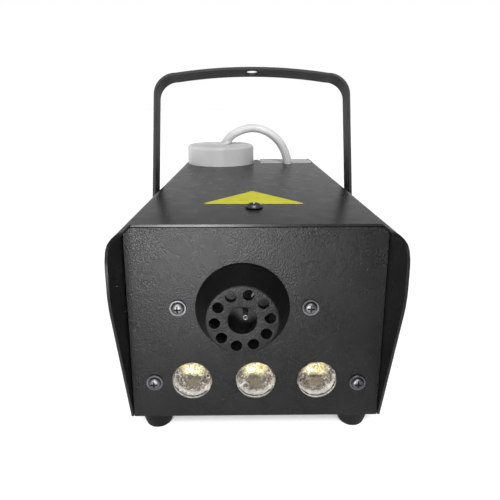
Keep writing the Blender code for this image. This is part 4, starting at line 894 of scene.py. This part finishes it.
# ---- sticker ------------------------------------------------------------------------------
def sticker():
    """Plain yellow triangle stuck on the cover's top."""
    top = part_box("screw_cover_top")[1].z - HEAD_RISE
    film, border_lift, face_lift = 0.00016, 0.00002, 0.00018
    corners = [tuple(at(x, y, 0).xy) for x, y in ((-0.0274, 0.0399), (0.0266, 0.0392), (-0.0006, 0.0737))]
    middle = sum((Vector(corner) for corner in corners), Vector((0, 0))) / 3
    wider = [tuple(middle + (Vector(corner) - middle) * 1.05) for corner in corners]
    for name, outline, lift, look in (("sticker_border", wider, border_lift, sticker_film(border=True)),
                                      ("top_sticker", corners, face_lift, sticker_film())):
        mesh = extruded(name, rounded(outline, 0.0010), top + lift, top + lift + film, 'Z')
        bevelled(placed(name, mesh, "case", "cover_paint", look=look, smooth_angle=None), 0.00005)


# ---- rear fittings and the rest -----------------------------------------------------------
def rear_fittings():
    """Inlet, switch and remote socket on the rear panel, with the socket's five pins."""
    refined("inlet_socket", "fitting_plastic", width=0.0004, segments=3)
    refined("inlet_contacts", "brass", width=0.00025)
    refined("switch_frame", "fitting_plastic", width=0.00035, segments=3)
    refined("power_rocker", "fitting_plastic", body="rocker", width=0.0003, segments=3)
    refined("remote_socket", "zinc_steel", width=0.0003, segments=3)
    socket = middle_of("remote_socket")
    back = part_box("remote_socket")[1].y
    ring_r, pin_r, tip_r, root_y = 0.0034, 0.0006, 0.0004, back - 0.0102
    for index in range(5):
        angle = math.radians(30 + 60 * index)
        spot = Vector((socket.x + ring_r * math.cos(angle), 0, socket.z + ring_r * math.sin(angle)))
        profile = [(0, root_y), (pin_r, root_y), (pin_r, back - 0.0035),
                   (tip_r, back - 0.0030), (0, back - 0.0029)]
        mesh = lathe("pin", profile, 16, 'Y', spot)
        placed(f"remote_pin_{index}", mesh, "case", "brass", smooth_angle=40)


INSIDE = {
    "heater_block": "heater_metal", "lamp_bracket": "heater_metal", "heater_plate": "zinc_steel",
    "heater_stand": "zinc_steel", "thermostat": "fitting_plastic", "control_board": "board",
    "lamp_board": "board", "pump_body": "pump_plastic", "pump_coil": "coil", "pump_bracket": "zinc_steel",
}
SHADE_DARKENED = ("heater_plate", "heater_stand", "lamp_bracket")      # darker than their slot: painted shade for the insides seen through the nozzle guard
KEPT = {
    "heating_element": "shade_dark_steel", "thermal_fuse": "shade_dark_steel", "pump_piston": "zinc_steel",
    "standoff_left": "shade_dark_steel", "standoff_right": "shade_dark_steel",
    "pickup_filter": "brass", "delivery_hose": "hose_silicone",
}


def spring_piece():
    """The pump's spring between the case below and the piston above, as a smooth-shaded copy of its CAD
    shape.
    """
    obj = bpy.data.objects.new("pump_spring_look", clean_copy("pump_spring"))
    bpy.context.scene.collection.objects.link(obj)
    obj.data.materials.append(LOOKS["zinc_steel"])
    obj.data.shade_smooth()
    obj.data.set_sharp_from_angle(angle=math.radians(50))
    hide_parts("pump_spring")
    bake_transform(obj)


def inside_pieces():
    """Fittings inside the case: the INSIDE ones get rounded edges, the KEPT ones only a look."""
    for node, slot in INSIDE.items():
        # The listed nozzle insides get the dark steel look: painted shade.
        refined(node, slot, width=0.0003, look=LOOKS["shade_dark_steel"] if node in SHADE_DARKENED else None)
    for node, slot in KEPT.items():
        mesh = NODES[node].data
        mesh.materials.clear()
        mesh.materials.append(LOOKS[slot])


# ---- stage --------------------------------------------------------------------------------
def floor():
    """A wide pale floor with a barely uneven surface."""
    form = bmesh.new()
    bmesh.ops.create_grid(form, x_segments=8, y_segments=8, size=12.0)
    mesh = finished("floor", form)
    obj = bpy.data.objects.new("floor", mesh)
    bpy.context.scene.collection.objects.link(obj)
    look = Look("floor_paper", (0.95, 0.95, 0.95), 0.9, specular=0.1)
    look.colour_from(look.ramp(look.noise(3.0, 2.0), ((0.3, 0.94), (0.7, 0.955))))
    mesh.materials.append(look.material)


def sky():
    """White to the eye, softer and darker overhead for what it lights."""
    world = bpy.data.worlds.new("studio")
    bpy.context.scene.world = world
    world.use_nodes = True
    tree = world.node_tree
    tree.nodes.clear()
    place = tree.nodes.new("ShaderNodeTexCoord")
    parts = tree.nodes.new("ShaderNodeSeparateXYZ")
    horizon, shoulder, overhead = 0.74, 0.62, 0.26
    tree.links.new(place.outputs["Generated"], parts.inputs["Vector"])
    height = tree.nodes.new("ShaderNodeValToRGB")
    height.color_ramp.elements[0].position = 0.0
    height.color_ramp.elements[0].color = (horizon, horizon, horizon, 1.0)
    height.color_ramp.elements[1].position = 0.75
    height.color_ramp.elements[1].color = (overhead, overhead, overhead, 1.0)
    band = height.color_ramp.elements.new(0.42)
    band.color = (shoulder, shoulder, shoulder, 1.0)
    tree.links.new(parts.outputs["Z"], height.inputs["Fac"])
    dim = tree.nodes.new("ShaderNodeBackground")
    tree.links.new(height.outputs["Color"], dim.inputs["Color"])
    white = tree.nodes.new("ShaderNodeBackground")
    white.inputs["Color"].default_value = (1.0, 1.0, 1.0, 1.0)
    white.inputs["Strength"].default_value = 1.0
    path = tree.nodes.new("ShaderNodeLightPath")
    mix = tree.nodes.new("ShaderNodeMixShader")
    tree.links.new(path.outputs["Is Camera Ray"], mix.inputs["Fac"])
    tree.links.new(dim.outputs["Background"], mix.inputs[1])
    tree.links.new(white.outputs["Background"], mix.inputs[2])
    output = tree.nodes.new("ShaderNodeOutputWorld")
    tree.links.new(mix.outputs["Shader"], output.inputs["Surface"])


def lamp(name, kind, location, target, energy, size=None, angle=None):
    """A light aimed at its target: a disk of a given size, or a sun of a given angle."""
    data = bpy.data.lights.new(name, kind)
    data.energy = energy
    if kind == 'AREA':
        data.shape = 'DISK'
        data.size = size
    if angle is not None:
        data.angle = math.radians(angle)
    obj = bpy.data.objects.new(name, data)
    bpy.context.scene.collection.objects.link(obj)
    obj.location = location
    obj.rotation_euler = (Vector(target) - Vector(location)).to_track_quat('-Z', 'Y').to_euler()


def lights():
    """A soft sun from in front and above, and a small disk low in front, left of the middle."""
    lamp("key", 'SUN', (-0.05, -1.9, 1.7), (0, 0, 0), energy=3.8, angle=22)
    lamp("low_glow", 'AREA', (-0.072, -0.46, 0.030), at(-0.025, 0, 0.075), energy=3.5, size=0.11)


def camera():
    """The camera in front of the machine, a little above it and looking down."""
    down, right = 12.58, 0.70
    data = bpy.data.cameras.new("camera")
    data.sensor_width = 36.0
    data.lens = 30.96
    data.shift_y = -0.097
    data.clip_start = 0.01
    data.clip_end = 50.0
    obj = bpy.data.objects.new("camera", data)
    bpy.context.scene.collection.objects.link(obj)
    obj.location = at(-0.0051, -0.1804, 0.1462)
    obj.rotation_euler = (math.radians(90 - down), 0.0, math.radians(-right))
    bpy.context.scene.camera = obj


def colours():
    """Plain colour management, with no curve laid over the render."""
    view = bpy.context.scene.view_settings
    view.view_transform = 'Standard'
    view.look = 'None'
    view.exposure = 0.0
    view.gamma = 1.0


camera()
colours()
floor()
sky()
lights()
case_pieces()
feet()
screw_pieces()
handle_piece()
knob_pieces()
guard_piece()
jet_piece()
lamp_pieces()
cap_centre, cap_top_z = tank_pieces()
hoses(cap_centre, cap_top_z)
sticker()
rear_fittings()
spring_piece()
inside_pieces()
